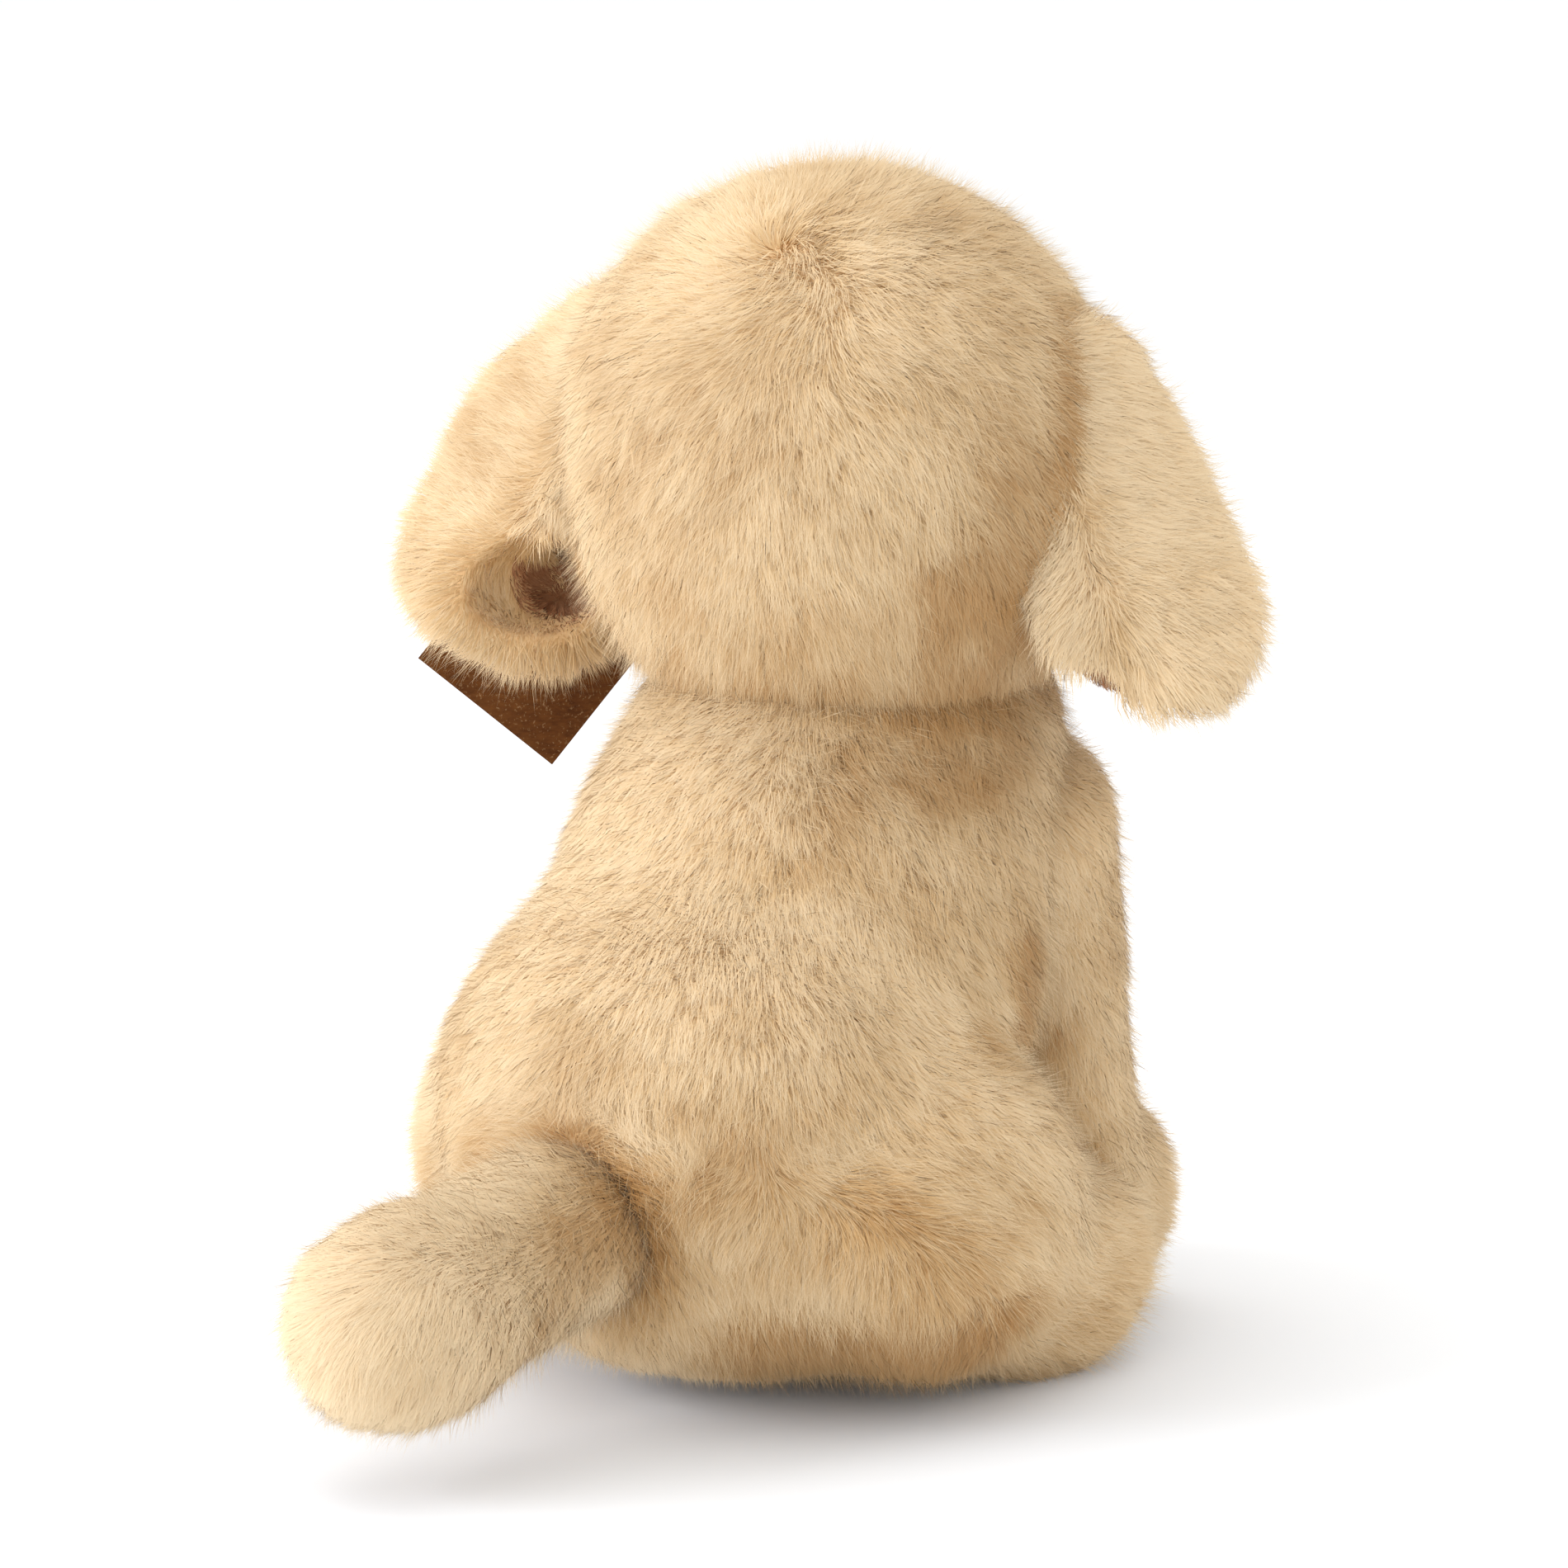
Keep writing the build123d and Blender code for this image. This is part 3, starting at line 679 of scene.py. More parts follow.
def skin(name, body, f, lo, hi, h, level, mat):
    P, Q = surface(f, lo, hi, h, level)
    ob = add_mesh(name, P, Q.ravel(), np.full(len(Q), 4))
    set_mat(ob, mat)
    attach(ob, body)
    return ob, P, Q


def floor_cut(f, z0=0.4):
    return lambda p: smax(f(p), z0 - p[..., 2], 2.0)


def ball_f(c, r):
    c = np.array(c, float)
    return lambda p: np.linalg.norm(p - c, axis=-1) - r


DOWN = np.array([0.0, 0.0, -1.0])

# places where the pile parts and its darker roots show, darkened further with painted shade: centre, radius, strength
PARTS = [((-51.6, 62.2, 47.6), 15.0, 0.9), ((-39.9, 74.1, 53.0), 13.0, 0.7), ((-65.0, 49.8, 39.5), 13.0, 0.8),
         ((-69.0, 29.0, 22.1), 14.0, 0.8), ((48.0, 66.0, 44.0), 15.0, 0.7), ((66.0, 34.0, 26.0), 13.0, 0.6),
         ((-14.0, -56.0, 90.0), 12.0, 0.4)]
# creases at the tail's root, darkened with painted shade: ends, radius, strength
CREASES = [((-20.0, 84.0, 52.0), (-22.0, 84.0, 24.0), 12.0, 0.8), ((20.0, 84.0, 52.0), (22.0, 84.0, 24.0), 12.0, 0.8)]


def parted(p):
    """1 where the pile parts and in the creases, which get painted shade, and the direction away from the parting"""
    w = np.zeros(len(p))
    v = np.zeros((len(p), 3))
    for c, r, k in PARTS:
        d = p - np.array(c)
        # the partings are broad and low, with a ragged edge
        q = np.linalg.norm(d * np.array([1.0, 1.0, 1.5]), axis=1) / r + 0.30 * noise(p, 6.0, 41)
        g = k * smooth(1.5, 0.2, q)
        v += unit(d) * (k * smooth(2.0, 0.8, q))[:, None]
        w = np.maximum(w, g)
    for a, b, r, k in CREASES:
        a, b = np.array(a), np.array(b)
        t = np.clip(((p - a) @ (b - a)) / ((b - a) @ (b - a)), 0, 1)
        q = np.linalg.norm(p - a - t[:, None] * (b - a), axis=1) / r + 0.25 * noise(p, 6.0, 43)
        w = np.maximum(w, k * smooth(1.3, 0.3, q))
    return w, v

# the thigh's ridge, painted paler as a highlight
RIDGE = np.array([(17.5, 74.9, 90.9), (-14.3, 62.6, 102.7), (-34.8, 44.5, 104.0), (-50.2, 31.6, 88.5), (-69.6, 27.5, 68.1),
                  (-75.8, 13.9, 53.4), (-73.8, 0.1, 37.7)])
# the hollow between thigh, flank and foreleg, painted darker as shade
SIDE = np.array([(-50.0, -6.0, 90.0), (-47.0, -20.0, 66.0), (-45.0, -30.0, 46.0), (-46.0, -38.0, 30.0)])
# the band under the head, painted darker as shade
BAND = np.array([(3.7, 54.2, 113.1), (-26.3, 44.1, 116.5), (-45.9, 25.6, 107.4)])


def to_line(p, pts):
    best = np.full(len(p), 1e9)
    for a, b in zip(pts[:-1], pts[1:]):
        t = np.clip(((p - a) @ (b - a)) / ((b - a) @ (b - a)), 0, 1)
        best = np.minimum(best, np.linalg.norm(p - a - t[:, None] * (b - a), axis=1))
    return best


def mirrored(p, pts):
    return np.minimum(to_line(p, pts), to_line(p, pts * np.array([-1.0, 1.0, 1.0])))


def side_hollow(p):
    """painted shade in the deep hollow between thigh, flank and foreleg"""
    d = mirrored(p, SIDE) * (1 + 0.3 * noise(p, 7.0, 83))
    return 1.0 * smooth(17, 5, d)


# ----------------------------------------------------------- torso and haunches
torso_skin_f = lambda p: smax(floor_cut(lambda q: torso_f(q) + PILE)(p), -ball_f(NECK, 52.9)(p), 2.0)
for s in (1, -1):
    pass


def carve(p):
    d = torso_skin_f(p)
    d = smax(d, (0.4 + 0.17 * (p[..., 1] - 22.0) - p[..., 2]) * 0.986, 3.0)
    d = smax(d, -(tail_f(p) + PILE - 1.2), 2.0)
    for side in ("left", "right"):
        d = smax(d, -(leg_f[side](p) + PILE - 1.0), 2.0)
    return d


torso, tP, tQ = skin("torso_skin", "torso", carve, (-84, -66, -2), (84, 100, 170), 2.2, 0.0, SKIN)
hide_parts("base_panel", "belly_panel", "body_side_left", "body_side_right", "torso_stuffing", "pellet_pouch",
            "haunch_cover_left", "haunch_cover_right", "haunch_stuffing_left", "haunch_stuffing_right",
            "hind_foot_cover_left", "hind_foot_cover_right", "hind_sole_left", "hind_sole_right")

HC = np.array([40.5, 24.0, 43.0])
FC = np.array([50.0, -14.0, 19.0])


def torso_flow(p, n):
    v = np.tile(DOWN, (len(p), 1))
    ax = np.abs(p[:, 0])
    s = np.sign(p[:, 0])
    # haunch: hair sweeps down and forward over the thigh
    q = p.copy()
    q[:, 0] = ax
    hd = ell((40.5, 24, 43), (34.5, 42, 37.5), rot("x", 28))(q)
    wh = smooth(10, -2, hd)
    v = v + wh[:, None] * np.stack([s * 0.18, np.full(len(p), -0.35), np.zeros(len(p))], 1)
    # foot: along the toes
    fd = ell((50, -14, 19), (20, 30, 20), rot("z", 6))(q)
    wf = smooth(8, -3, fd) * smooth(44, 28, p[:, 2])
    v = v * (1 - wf)[:, None] + wf[:, None] * np.stack([s * 0.25, np.full(len(p), -1.0), np.full(len(p), -0.35)], 1)
    # rump: spreads away from the tail root
    r = p - np.array([0, 88, 42.0])
    d = np.linalg.norm(r, axis=1)
    wr = smooth(46, 22, d) * 0.55
    v = unit(v) * (1 - wr)[:, None] + unit(r) * wr[:, None]
    v = unit(v) + parted(p)[1] * 1.3
    # underside: backwards
    wu = smooth(4, 1, p[:, 2]) * smooth(-0.3, -0.8, n[:, 2])
    v = v * (1 - wu)[:, None] + wu[:, None] * np.array([0, 1.0, 0])
    return v


def torso_keep(p):
    k = np.ones(len(p))
    k *= smooth(-9.0, -4.0, head_f(p))
    k *= smooth(-8.0, -4.5, tail_f(p))
    for side in ("left", "right"):
        k *= smooth(-8.5, -5.0, leg_f[side](p))
    k *= np.where(np.linalg.norm(p - NECK, axis=1) < 54.5, 0, 1)
    k *= np.where(p[:, 2] < 1.6, 0.0, 1)
    return k


# painted highlights on the back: centre, radius
PAINTED_HIGHLIGHTS = [((16.5, 44.5, 122.0), 26.0), ((34.0, 22.0, 128.0), 22.0), ((11.0, 66.8, 100.6), 20.0), ((16.0, 82.3, 80.4), 16.0),
        ((-20.7, 36.4, 134.0), 14.0)]


def torso_shade(p):
    """painted shade and light: darker and warmer where shade falls beside other bodies, in the creases, in the groove
    above the hips, in the band under the head and towards the floor, and in the partings, where the darker roots also
    show; paler in painted highlights on the back and along the thigh's ridge
    """
    leg = np.minimum(leg_f["left"](p), leg_f["right"](p))
    # painted shade beside the legs, under the head on the right and at the tail's root on the right; painted light
    # beside the head on the left
    hollow = np.maximum(0.5 * smooth(4, -3, leg), 0.8 * smooth(5, -2, head_f(p)) * smooth(4, -26, p[:, 0]))
    hollow = np.maximum(hollow, 0.6 * smooth(5, -1, tail_f(p)) * smooth(12, -8, p[:, 0]))
    hollow = hollow - 0.5 * smooth(12, 2, head_f(p)) * smooth(-6, 16, p[:, 0])
    low = smooth(14, 2, p[:, 2])
    # painted shade in the groove between the thigh and the flank, deepest in front
    lim = np.minimum(limbs[0](p), limbs[1](p))
    groove = smooth(9, 1, np.abs(torso_core(p) - lim)) * smooth(46, 20, p[:, 1]) * smooth(30, 52, p[:, 2])
    hollow = np.maximum(hollow, 0.7 * groove)
    hollow = np.maximum(hollow, side_hollow(p))
    for c, r in PAINTED_HIGHLIGHTS:
        hollow = hollow - 0.7 * smooth(r, 0.2 * r, np.linalg.norm(p - np.array(c), axis=1))
    # painted highlight along the thigh's ridge; painted shade in the band under the head and towards the floor
    wide = mirrored(p, RIDGE) * (1 + 0.25 * noise(p, 9.0, 81))
    return hollow, parted(p)[0], smooth(15, 3, wide), smooth(12, 2, mirrored(p, BAND)), low


# warmth and tone from the painted shade and highlights, and warmer towards the bottom
def torso_warm(p):
    hollow, part, ridge, band, low = torso_shade(p)
    return 0.24 + 0.10 * smooth(90, 10, p[:, 2]) + 0.6 * part + 0.75 * hollow - 0.35 * ridge + 0.15 * band + 0.25 * low


def torso_tone(p):
    hollow, part, ridge, band, low = torso_shade(p)
    return 0.06 - 0.34 * part - 0.46 * hollow + 0.42 * ridge - 0.06 * band - 0.2 * low


def torso_lay(p):
    return 1.0 + 0.28 * parted(p)[0]


coat("torso_fur", "torso", tP, tQ, carve, torso_flow, torso_keep, warmth=torso_warm, tone=torso_tone, lay=torso_lay)

# ------------------------------------------------------------------ forelegs
leg_names = {"left": ("foreleg_cover_left", "paw_pad_left", "foreleg_stuffing_left"),
             "right": ("foreleg_cover_right", "paw_pad_right", "foreleg_stuffing_right")}
for side, s in (("left", 1), ("right", -1)):
    lf = leg_f[side]
    lsk = floor_cut(lambda q, lf=lf: lf(q) + PILE)
    ob, P, Q = skin(f"foreleg_skin_{side}", f"foreleg_{side}", lsk, (min(s * 25 - 32, s * 25 + 32), -92, -2), (s * 25 + 32, -4, 140),
                    2.0, 0.0, SKIN)
    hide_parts(*leg_names[side])

    def leg_flow(p, n):
        v = np.tile(DOWN, (len(p), 1)) + np.array([0, -0.12, 0])
        w = smooth(44, 24, p[:, 2])
        r = p - np.array([s * 25, -46, 30])
        toe = np.stack([r[:, 0] * 0.02, np.full(len(p), -1.0), np.full(len(p), -0.55)], 1)
        v = v * (1 - w)[:, None] + toe * w[:, None]
        return v

    def leg_keep(p):
        k = smooth(-9.0, -4.0, torso_f(p))
        k *= smooth(-9.0, -4.0, head_f(p))
        k *= np.where(p[:, 2] < 1.6, 0, 1)
        return k

    # painted shade in the hollow beside the thigh
    coat(f"foreleg_fur_{side}", f"foreleg_{side}", P, Q, lsk, leg_flow, leg_keep,
         warmth=lambda p: 0.24 + 0.75 * side_hollow(p), tone=lambda p: 0.12 - 0.58 * side_hollow(p))

# ---------------------------------------------------------------------- tail
tsk = floor_cut(lambda q: tail_f(q) + PILE)
ob, P, Q = skin("tail_skin", "tail", tsk, (-26, 66, -2), (26, 170, 64), 2.0, 0.0, SKIN)
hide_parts("tail_half_left", "tail_half_right", "tail_stuffing")


def tail_flow(p, n):
    # brushed towards the tip and across to its left
    v = np.array([0.85, 0.75, -0.5]) + 0.25 * np.stack([noise(p, 14.0, 91), noise(p, 14.0, 92), noise(p, 14.0, 93)], 1)
    r = p - np.array([0, 150.0, 31.0])
    w = smooth(120, 150, p[:, 1])
    out = unit(np.stack([r[:, 0], np.full(len(p), 6.0), r[:, 2] - 4], 1))
    return v * (1 - w)[:, None] + (out * 0.6 + np.array([0.3, 0.2, -0.5])) * w[:, None]


# painted shade darkens and warms the tail where it meets the torso on its right; the raised tone and pale roots are
# painted light for the tail's shaded top
coat("tail_fur", "tail", P, Q, tsk, tail_flow, lambda p: smooth(-9, -4, torso_f(p)) * np.where(p[:, 2] < 1.6, 0, 1),
     warmth=lambda p: 0.05 + 0.4 * smooth(4, -1, torso_f(p)) * smooth(6, -12, p[:, 0]),
     tone=lambda p: 0.34 - 0.5 * smooth(4, -1, torso_f(p)) * smooth(6, -12, p[:, 0]),
     length=9.5, lift=(30, 8), density=4.4, root0=0.64)

# ---------------------------------------------------------------------- head
EYES = np.array([[24.0, -60.3, 203.0], [-24.0, -60.3, 203.0]])
NOSE = np.array([0.0, -89.0, 190.6])
NOSE_BACK = np.array([0.0, -86.7, 190.6])


def face_near(q):
    """1 on the face where the pile is short, q in head axes"""
    d = np.minimum(np.linalg.norm(q - EYES[0], axis=-1), np.linalg.norm(q - EYES[1], axis=-1))
    a = smooth(26, 10, d)
    b = smooth(-56, -70, q[..., 1])
    return np.maximum(a, b)


def head_skin_f(p):
    q = to_head(p)
    d = head_l(q) + PILE - 0.9 * face_near(q)
    # the backing swells up to the flat backs of the nose and the eyes
    d = d - 2.6 * smooth(14, 8, np.linalg.norm(q - NOSE_BACK, axis=-1))
    for e, rise in zip(EYES, (1.0, 2.2)):
        d = d - rise * smooth(12.5, 7, np.linalg.norm(q - e, axis=-1))
    low = smax(d, ball_f(NECK, 51.5)(p), 3.0)
    w = smooth(168, 150, q[..., 2]) * smooth(-62, -50, q[..., 1])
    return d * (1 - w) + low * w


head, hP, hQ = skin("head_skin", "head", head_skin_f, (-70, -112, 122), (70, 54, 262), 2.2, 0.0, SKIN)
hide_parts("crown_gusset", "chin_gusset", "head_side_left", "head_side_right", "head_stuffing", "muzzle_panel",
            "chin_panel", "muzzle_stuffing")
WHORL = np.array([0.0, 34.0, 232.0])


def head_flow(p, n):
    q = to_head(p)
    # the crown lies in loose tufts, not in a pinwheel: its centre is drawn out and crumpled
    fold = 15.0 * np.stack([noise(q, 20.0, 61), noise(q, 20.0, 62), noise(q, 20.0, 63)], 1)
    r = (q - WHORL + fold) * np.array([0.8, 1.0, 1.0])
    d = np.linalg.norm(r, axis=1)
    r = r / np.maximum(d, 5.0)[:, None]
    g = 0.35 + 0.85 * smooth(10, 50, d)
    v = r + DOWN * g[:, None]
    near = smooth(58, 18, d)
    v = v + near[:, None] * 0.5 * np.stack([noise(q, 9.0, 64), noise(q, 9.0, 65), noise(q, 9.0, 66)], 1)
    # cheeks and brow comb away from the nose, over the top of the muzzle and back
    m = unit(q - NOSE)
    w = smooth(52, 26, np.linalg.norm(q - NOSE, axis=1))
    v = unit(v) * (1 - w)[:, None] + (m * 1.2 + DOWN * 0.35) * w[:, None]
    return turn_dir(v)


def head_keep(p):
    q = to_head(p)
    k = np.ones(len(p))
    for e in EYES:
        k *= smooth(7.2, 8.4, np.linalg.norm(q - e, axis=1))
    k *= smooth(9.0, 10.0, np.linalg.norm((q - NOSE) * np.array([1.0, 0.7, 1.2]), axis=1))
    k *= np.where((np.abs(q[:, 0]) < 1.0) & (q[:, 1] < -70) & (q[:, 2] > 168) & (q[:, 2] < 188), 0.15, 1)
    k *= np.where(q[:, 2] < 140, 0, 1)
    return k


def head_short(p):
    q = to_head(p)
    d = np.minimum(np.linalg.norm(q - EYES[0], axis=1), np.linalg.norm(q - EYES[1], axis=1))
    long = 1 + 0.3 * smooth(172, 150, q[:, 2])
    return np.minimum(1 - 0.62 * smooth(-50, -66, q[:, 1]), 1 - 0.6 * smooth(26, 12, d)) * long


# where painted shade falls on the head: round the ears' roots and against the torso
def head_hollow(p):
    e = np.minimum(ear_fs["left"](p), ear_fs["right"](p))
    return np.maximum(smooth(8, -1, e), 0.3 * smooth(6, 0, torso_f(p)))


# painted shade: darker and warmer round the ears' roots, against the torso and on the lower head
coat("head_fur", "head", hP, hQ, head_skin_f, head_flow, head_keep, short=head_short,
     warmth=lambda p: 0.10 + 0.8 * head_hollow(p) + 0.15 * smooth(184, 152, p[:, 2]),
     tone=lambda p: -0.02 - 0.5 * head_hollow(p) - 0.24 * smooth(186, 150, p[:, 2]))

# ---------------------------------------------------------------------- ears
for side in ("right", "left"):
    e = EAR[side]
    ef = ear_fs[side]
    inset = 4.0
    esk = lambda p, ef=ef: ef(p) + inset
    c0, c1 = from_head(e["A"]), from_head(e["A"] + e["a"] * e["L"])
    blo, bhi = np.minimum(c0, c1) - 36, np.maximum(c0, c1) + 36
    ob, P, Q = skin(f"ear_skin_{side}", f"ear_{side}", esk, blo, bhi, 1.8, 0.0, SKIN)
    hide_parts(f"ear_outer_{side}", f"ear_lining_{side}")

    def local(p):
        q = to_head(p) - e["A"]
        return q @ e["a"], q @ e["b"], q @ e["c"]

    def ear_flow(p, n):
        x, y, z = local(p)
        y0 = -11.0 if side == "right" else -12.0
        sgn = np.tanh((y - y0) / 2.5)
        low = smooth(36, 64, x)
        v = (e["a"])[None] * (0.30 + 0.9 * low + 0.35 * (sgn < 0))[:, None] + e["b"][None] * (sgn * (1.0 - 0.55 * low))[:, None]
        v = v - e["c"][None] * 0.15
        v = turn_dir(v)
        if side == "left":
            # the rolled edge combs out of the cup and down
            r = p - oblique(-51.0, 39.8, -4.0)
            w = smooth(8, 1, ROLL(p))
            v = v * (1 - w)[:, None] + (unit(r) + DOWN * 0.7) * w[:, None]
        return v

    def keep_out(p):
        n = grad(esk, p, 1.0)
        return (1 - ear_lined(side, p, n)) * smooth(-9, -5, head_f(p))

    def keep_in(p):
        n = grad(esk, p, 1.0)
        return ear_lined(side, p, n) * smooth(-9, -5, head_f(p))

    def ear_part(p):
        x, y, z = local(p)
        y0 = -11.0 if side == "right" else -12.0
        k = np.exp(-((y - y0) / 3.2) ** 2) * smooth(-2, 8, x) * (0.55 + 0.45 * noise(p, 7.0, 71)) * smooth(66, 54, x)
        if side == "left":
            k = k * smooth(2, 8, ROLL(p)) * 0.5
        return k

    def ear_short(p):
        x, y, z = local(p)
        return 1 + 0.25 * smooth(40, 66, x)

    # painted shade: darker towards the middle of the left ear's pit
    def cup_tone(p):
        if side == "left":
            return -0.25 + 0.41 * smooth(5.0, 9.5, np.hypot((p - TARGET) @ RIGHT + 48.8, (p - TARGET) @ UP - 41.8))
        return np.full(len(p), -0.12)

    # the right ear is painted paler, partly for its paler hair and partly as painted light on its fold; the parting
    # down the ear shows darker roots and painted shade
    coat(f"ear_fur_{side}", f"ear_{side}", P, Q, esk, ear_flow, keep_out, warmth=lambda p: (0.0 if side == "right" else 0.05) + 0.8 * ear_part(p),
         tone=lambda p: (0.42 if side == "right" else 0.06) - 0.55 * ear_part(p), short=ear_short, length=9.5, lift=(44, 12), density=3.8,
         root0=0.45 if side == "right" else 0.12)
    # the dark short lining fur grows only in the left ear's pit, the paler curl round it
    deep = (lambda p: smooth(6.0, 4.9, PIT(p)) * smooth(49.5, 47.2, (p - TARGET) @ UP)) if side == "left" else (lambda p: np.ones(len(p)))
    fur(f"ear_lining_fur_{side}", f"ear_{side}", P, Q, esk, 0.0, ear_flow, lambda p: keep_in(p) * np.maximum(deep(p), p[:, 1] < 10),
        warmth=0.4, length=3.6, lift=(48, 26), density=5.0, mat=FUR_SHORT, slot="short_plush", wave=0.3, tone=cup_tone)
    if side == "left":
        # painted shade: the curl round the pit is darker and warmer towards it
        fur("ear_curl_fur_left", "ear_left", P, Q, esk, 0.0, ear_flow, lambda p: keep_in(p) * (1 - deep(p)) * (p[:, 1] >= 10),
            warmth=lambda p: 0.50 + 0.3 * smooth(10, 5, PIT(p)), tone=lambda p: 0.40 - 0.3 * smooth(9, 5, PIT(p)), length=5.0,
            lift=(50, 24), density=5.4, wave=1.4, root0=0.25)

# ------------------------------------------------------------- inner neck
nk = cone(NECK, (NECK[0], NECK[1], 114.0), 15.8, 13.8)
ob, P, Q = skin("neck_skin", "neck", nk, (-22, -34, 92), (22, 10, 204), 3.0, 0.0, SKIN)
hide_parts("neck_core")

# ------------------------------------------------------- hard and small parts


def node_mat(names, mat):
    for nm in names:
        ob = frame["nodes"][nm] if not isinstance(frame["nodes"], list) else bpy.data.objects[nm]
        if isinstance(ob, str):
            ob = bpy.data.objects[ob]
        for i in range(max(1, len(ob.material_slots))):
            if ob.material_slots:
                ob.material_slots[i].material = mat
            else:
                ob.data.materials.append(mat)


def plastic(name, dark, light, rough, scale=260.0, bump=0.03, coat=0.0):
    m = Nodes(name)
    co = m.n("TexCoord")
    a = m.n("TexNoise", Scale=scale, Detail=3.0, Roughness=0.55)
    b = m.n("TexNoise", Scale=scale * 0.1, Detail=2.0)
    for t in (a, b):
        m.link(co.outputs["Object"], t.inputs["Vector"])
    m.link(m.ramp(b.outputs["Fac"], [(0.3, dark), (0.7, light)]), m.bsdf.inputs["Base Color"])
    m.link(m.math("ADD", m.math("MULTIPLY", a.outputs["Fac"], 0.14), rough - 0.07), m.bsdf.inputs["Roughness"])
    bm = m.n("Bump", Strength=bump, Distance=0.0002)
    m.link(a.outputs["Fac"], bm.inputs["Height"])
    m.link(bm.outputs[0], m.bsdf.inputs["Normal"])
    m.bsdf.inputs["Coat Weight"].default_value = coat
    return m.mat


def card(name):
    """recycled kraft card: fibres, flecks and a faint mottle"""
    m = Nodes(name)
    co = m.n("TexCoord")
    mp = m.n("Mapping")
    mp.inputs["Scale"].default_value = (1.0, 1.0, 3.0)
    m.link(co.outputs["Object"], mp.inputs["Vector"])
    a = m.n("TexNoise", Scale=420.0, Detail=4.0, Roughness=0.65)
    b = m.n("TexNoise", Scale=1500.0, Detail=2.0, Roughness=0.6)
    c = m.n("TexNoise", Scale=60.0, Detail=2.0)
    m.link(mp.outputs[0], a.inputs["Vector"])
    m.link(co.outputs["Object"], b.inputs["Vector"])
    m.link(co.outputs["Object"], c.inputs["Vector"])
    k = m.math("ADD", m.math("MULTIPLY", a.outputs["Fac"], 0.6), m.math("MULTIPLY", c.outputs["Fac"], 0.4))
    base = m.ramp(k, [(0.32, srgb(80, 44, 16)), (0.68, srgb(118, 72, 32))])
    fleck = m.ramp(b.outputs["Fac"], [(0.60, (0, 0, 0)), (0.68, (1, 1, 1))])
    m.link(m.mix(m.math("MULTIPLY", fleck, 0.35), base, srgb(186, 150, 108)), m.bsdf.inputs["Base Color"])
    bm = m.n("Bump", Strength=0.12, Distance=0.0002)
    m.link(b.outputs["Fac"], bm.inputs["Height"])
    m.link(bm.outputs[0], m.bsdf.inputs["Normal"])
    m.bsdf.inputs["Roughness"].default_value = 0.85
    m.bsdf.inputs["Specular IOR Level"].default_value = 0.15
    return m.mat


def thread(name, dark, light):
    m = Nodes(name)
    co = m.n("TexCoord")
    w = m.n("TexWave", Scale=900.0, Distortion=1.5, Detail=2.0)
    w.bands_direction = "DIAGONAL"
    m.link(co.outputs["Object"], w.inputs["Vector"])
    m.link(m.ramp(w.outputs["Fac"], [(0.2, dark), (0.8, light)]), m.bsdf.inputs["Base Color"])
    bm = m.n("Bump", Strength=0.4, Distance=0.0002)
    m.link(w.outputs["Fac"], bm.inputs["Height"])
    m.link(bm.outputs[0], m.bsdf.inputs["Normal"])
    m.bsdf.inputs["Roughness"].default_value = 0.7
    return m.mat


DARK = plastic("plastic_dark", srgb(22, 14, 10), srgb(44, 28, 18), 0.16, coat=0.6)
WASH = plastic("plastic_washer", srgb(196, 192, 184), srgb(214, 210, 202), 0.5)
BEAD = plastic("plastic_pellet", srgb(214, 208, 196), srgb(232, 228, 220), 0.4)
TIE = plastic("plastic_tie", srgb(206, 196, 178), srgb(226, 218, 204), 0.35)
node_mat(("eye_left", "eye_right", "nose"), DARK)
node_mat(("eye_washers", "nose_washer"), WASH)
node_mat(("weight_pellets",), BEAD)
node_mat(("tag_tie",), TIE)
node_mat(("hang_tag",), card("card_kraft"))
node_mat(("mouth_stitch",), thread("thread_dark", srgb(40, 26, 18), srgb(78, 54, 38)))
node_mat(("tag_thread_loop",), thread("thread_tan", srgb(150, 112, 70), srgb(200, 164, 116)))

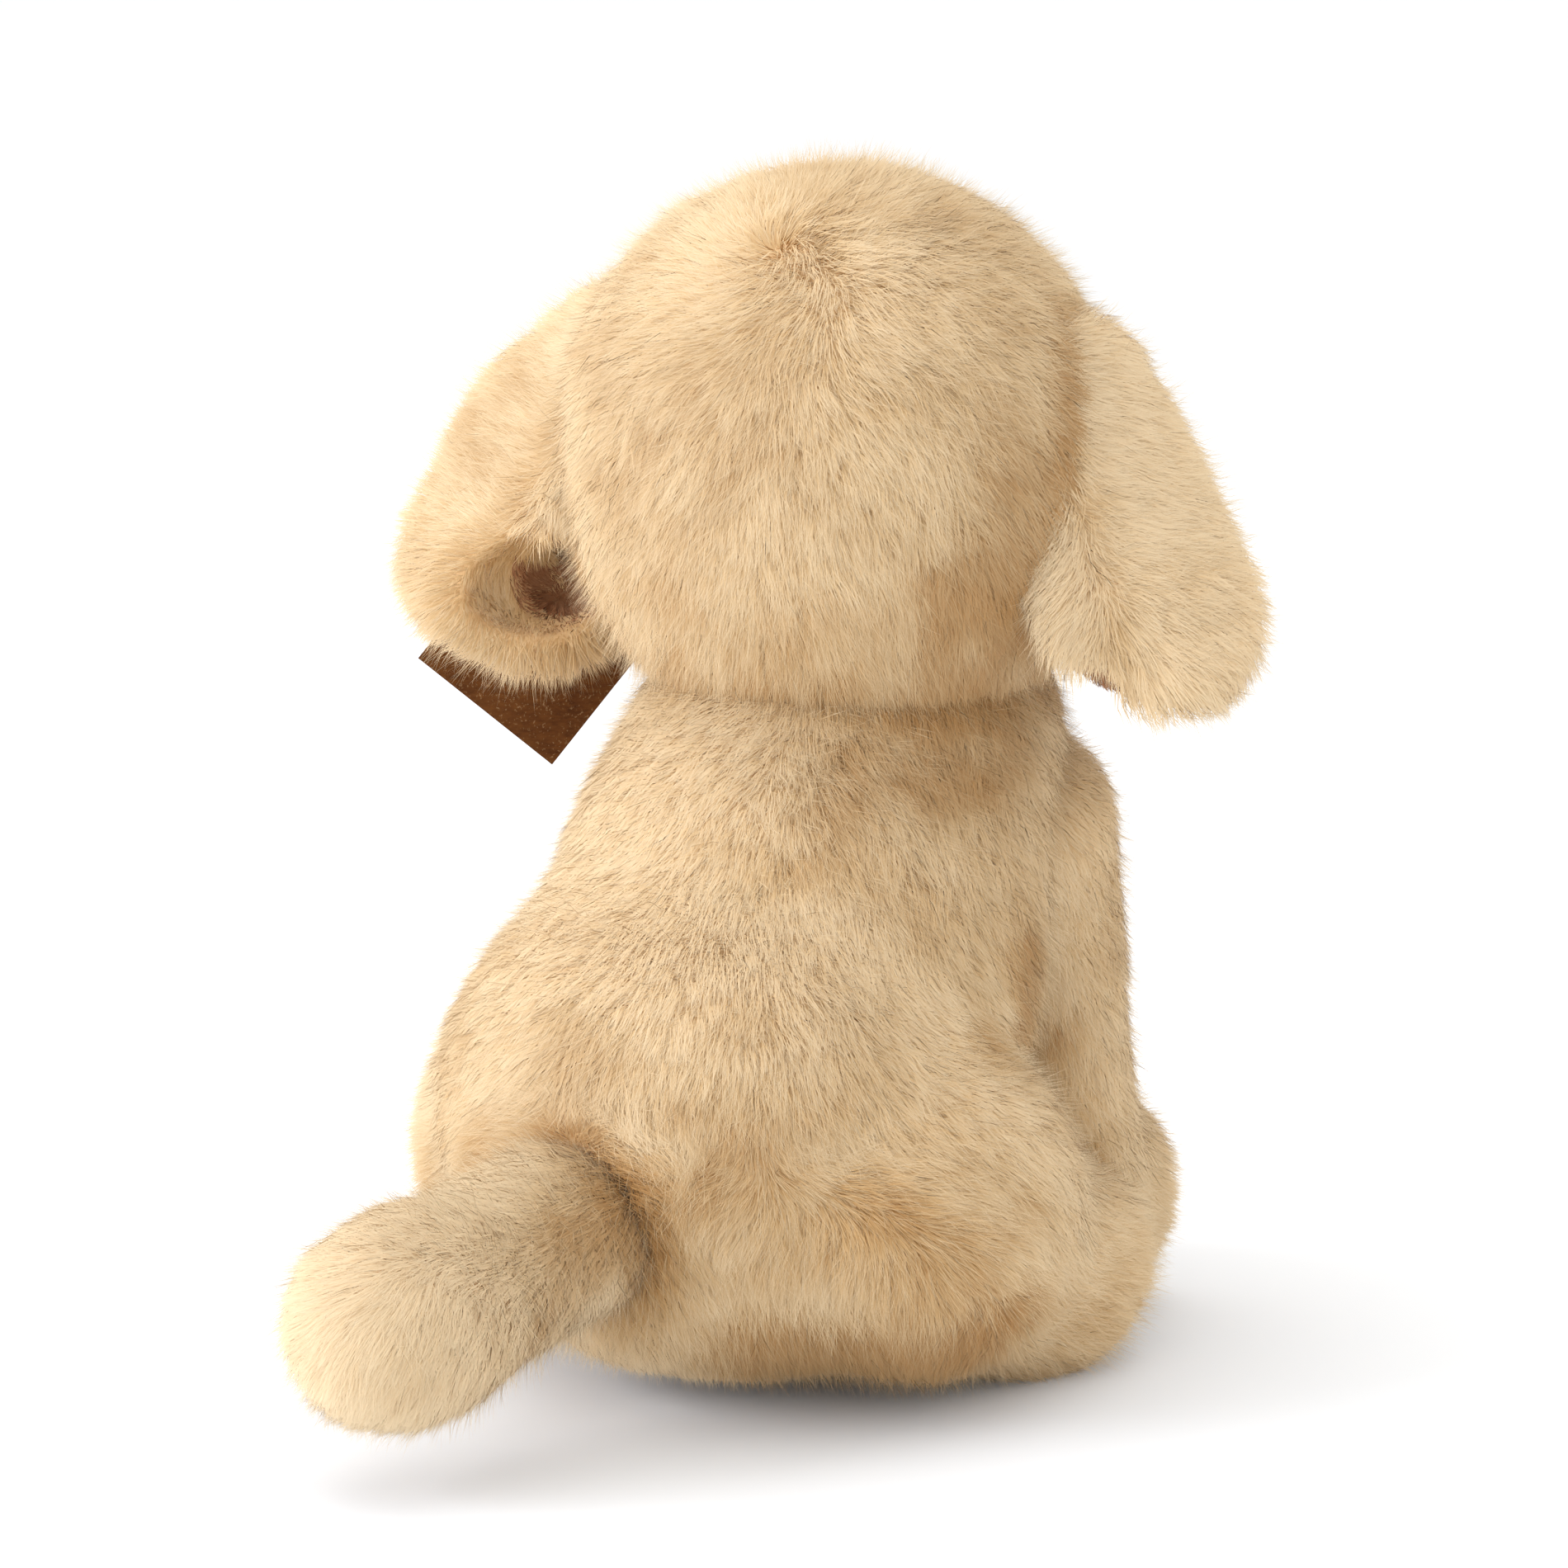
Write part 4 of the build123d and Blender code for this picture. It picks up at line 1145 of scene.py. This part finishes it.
# ------------------------------------------------------- floor, light, camera
floor_me = bpy.data.meshes.new("floor")
floor_me.from_pydata([(-6, -6, 0), (6, -6, 0), (6, 6, 0), (-6, 6, 0)], [], [(0, 1, 2, 3)])
floor = bpy.data.objects.new("floor", floor_me)
bpy.context.scene.collection.objects.link(floor)
fm = Nodes("floor_white")
co = fm.n("TexCoord")
nz = fm.n("TexNoise", Scale=3.0, Detail=2.0)
fm.link(co.outputs["Object"], nz.inputs["Vector"])
fm.link(fm.ramp(nz.outputs["Fac"], [(0.3, (0.98, 0.99, 1.0)), (0.7, (0.99, 0.995, 1.0))]), fm.bsdf.inputs["Base Color"])
fm.bsdf.inputs["Roughness"].default_value = 0.9
fm.bsdf.inputs["Specular IOR Level"].default_value = 0.1
floor_me.materials.append(fm.mat)

world = bpy.data.worlds.new("world")
bpy.context.scene.world = world
world.use_nodes = True
wt = world.node_tree
bg = wt.nodes["Background"] if "Background" in wt.nodes else wt.nodes.new("ShaderNodeBackground")
bg.inputs[0].default_value = (1, 1, 1, 1)
bg.inputs[1].default_value = 1.02

bpy.context.scene.view_settings.view_transform = "Standard"
bpy.context.scene.view_settings.look = "None"

def area_light(name, at, size, power, color=(1, 1, 1), aim=(0, 0, 120)):
    li = bpy.data.lights.new(name, "AREA")
    li.shape = "DISK"
    li.size = size
    li.energy = power
    li.color = color
    ob = bpy.data.objects.new(name, li)
    bpy.context.scene.collection.objects.link(ob)
    at, aim = Vector(row(at)), Vector(row(aim))
    ob.matrix_world = Matrix.Translation(at) @ (aim - at).to_track_quat("-Z", "Y").to_matrix().to_4x4()
    return ob


area_light("key", TARGET - RIGHT * 1450 + UP * 420 + BACK * 420, 1.1, 16.0, (0.95, 0.98, 1.07))
area_light("fill", np.array([120.0, 60.0, 1500.0]), 1.6, 4.5, (1.0, 0.99, 0.97))

cam_d = bpy.data.cameras.new("camera")
cam = bpy.data.objects.new("camera", cam_d)
bpy.context.scene.collection.objects.link(cam)
cam_d.sensor_width = 36.0
cam_d.lens = 36.0 * 1400.0 / (1900 * 0.172)
cam_d.clip_start = 0.05
place = row(TARGET + BACK * 1400.0)
cam.matrix_world = Matrix((
    (RIGHT[0], UP[0], BACK[0], place[0]),
    (RIGHT[1], UP[1], BACK[1], place[1]),
    (RIGHT[2], UP[2], BACK[2], place[2]),
    (0, 0, 0, 1)))
bpy.context.scene.camera = cam

for st in STATS:
    print("STRANDS", *st)
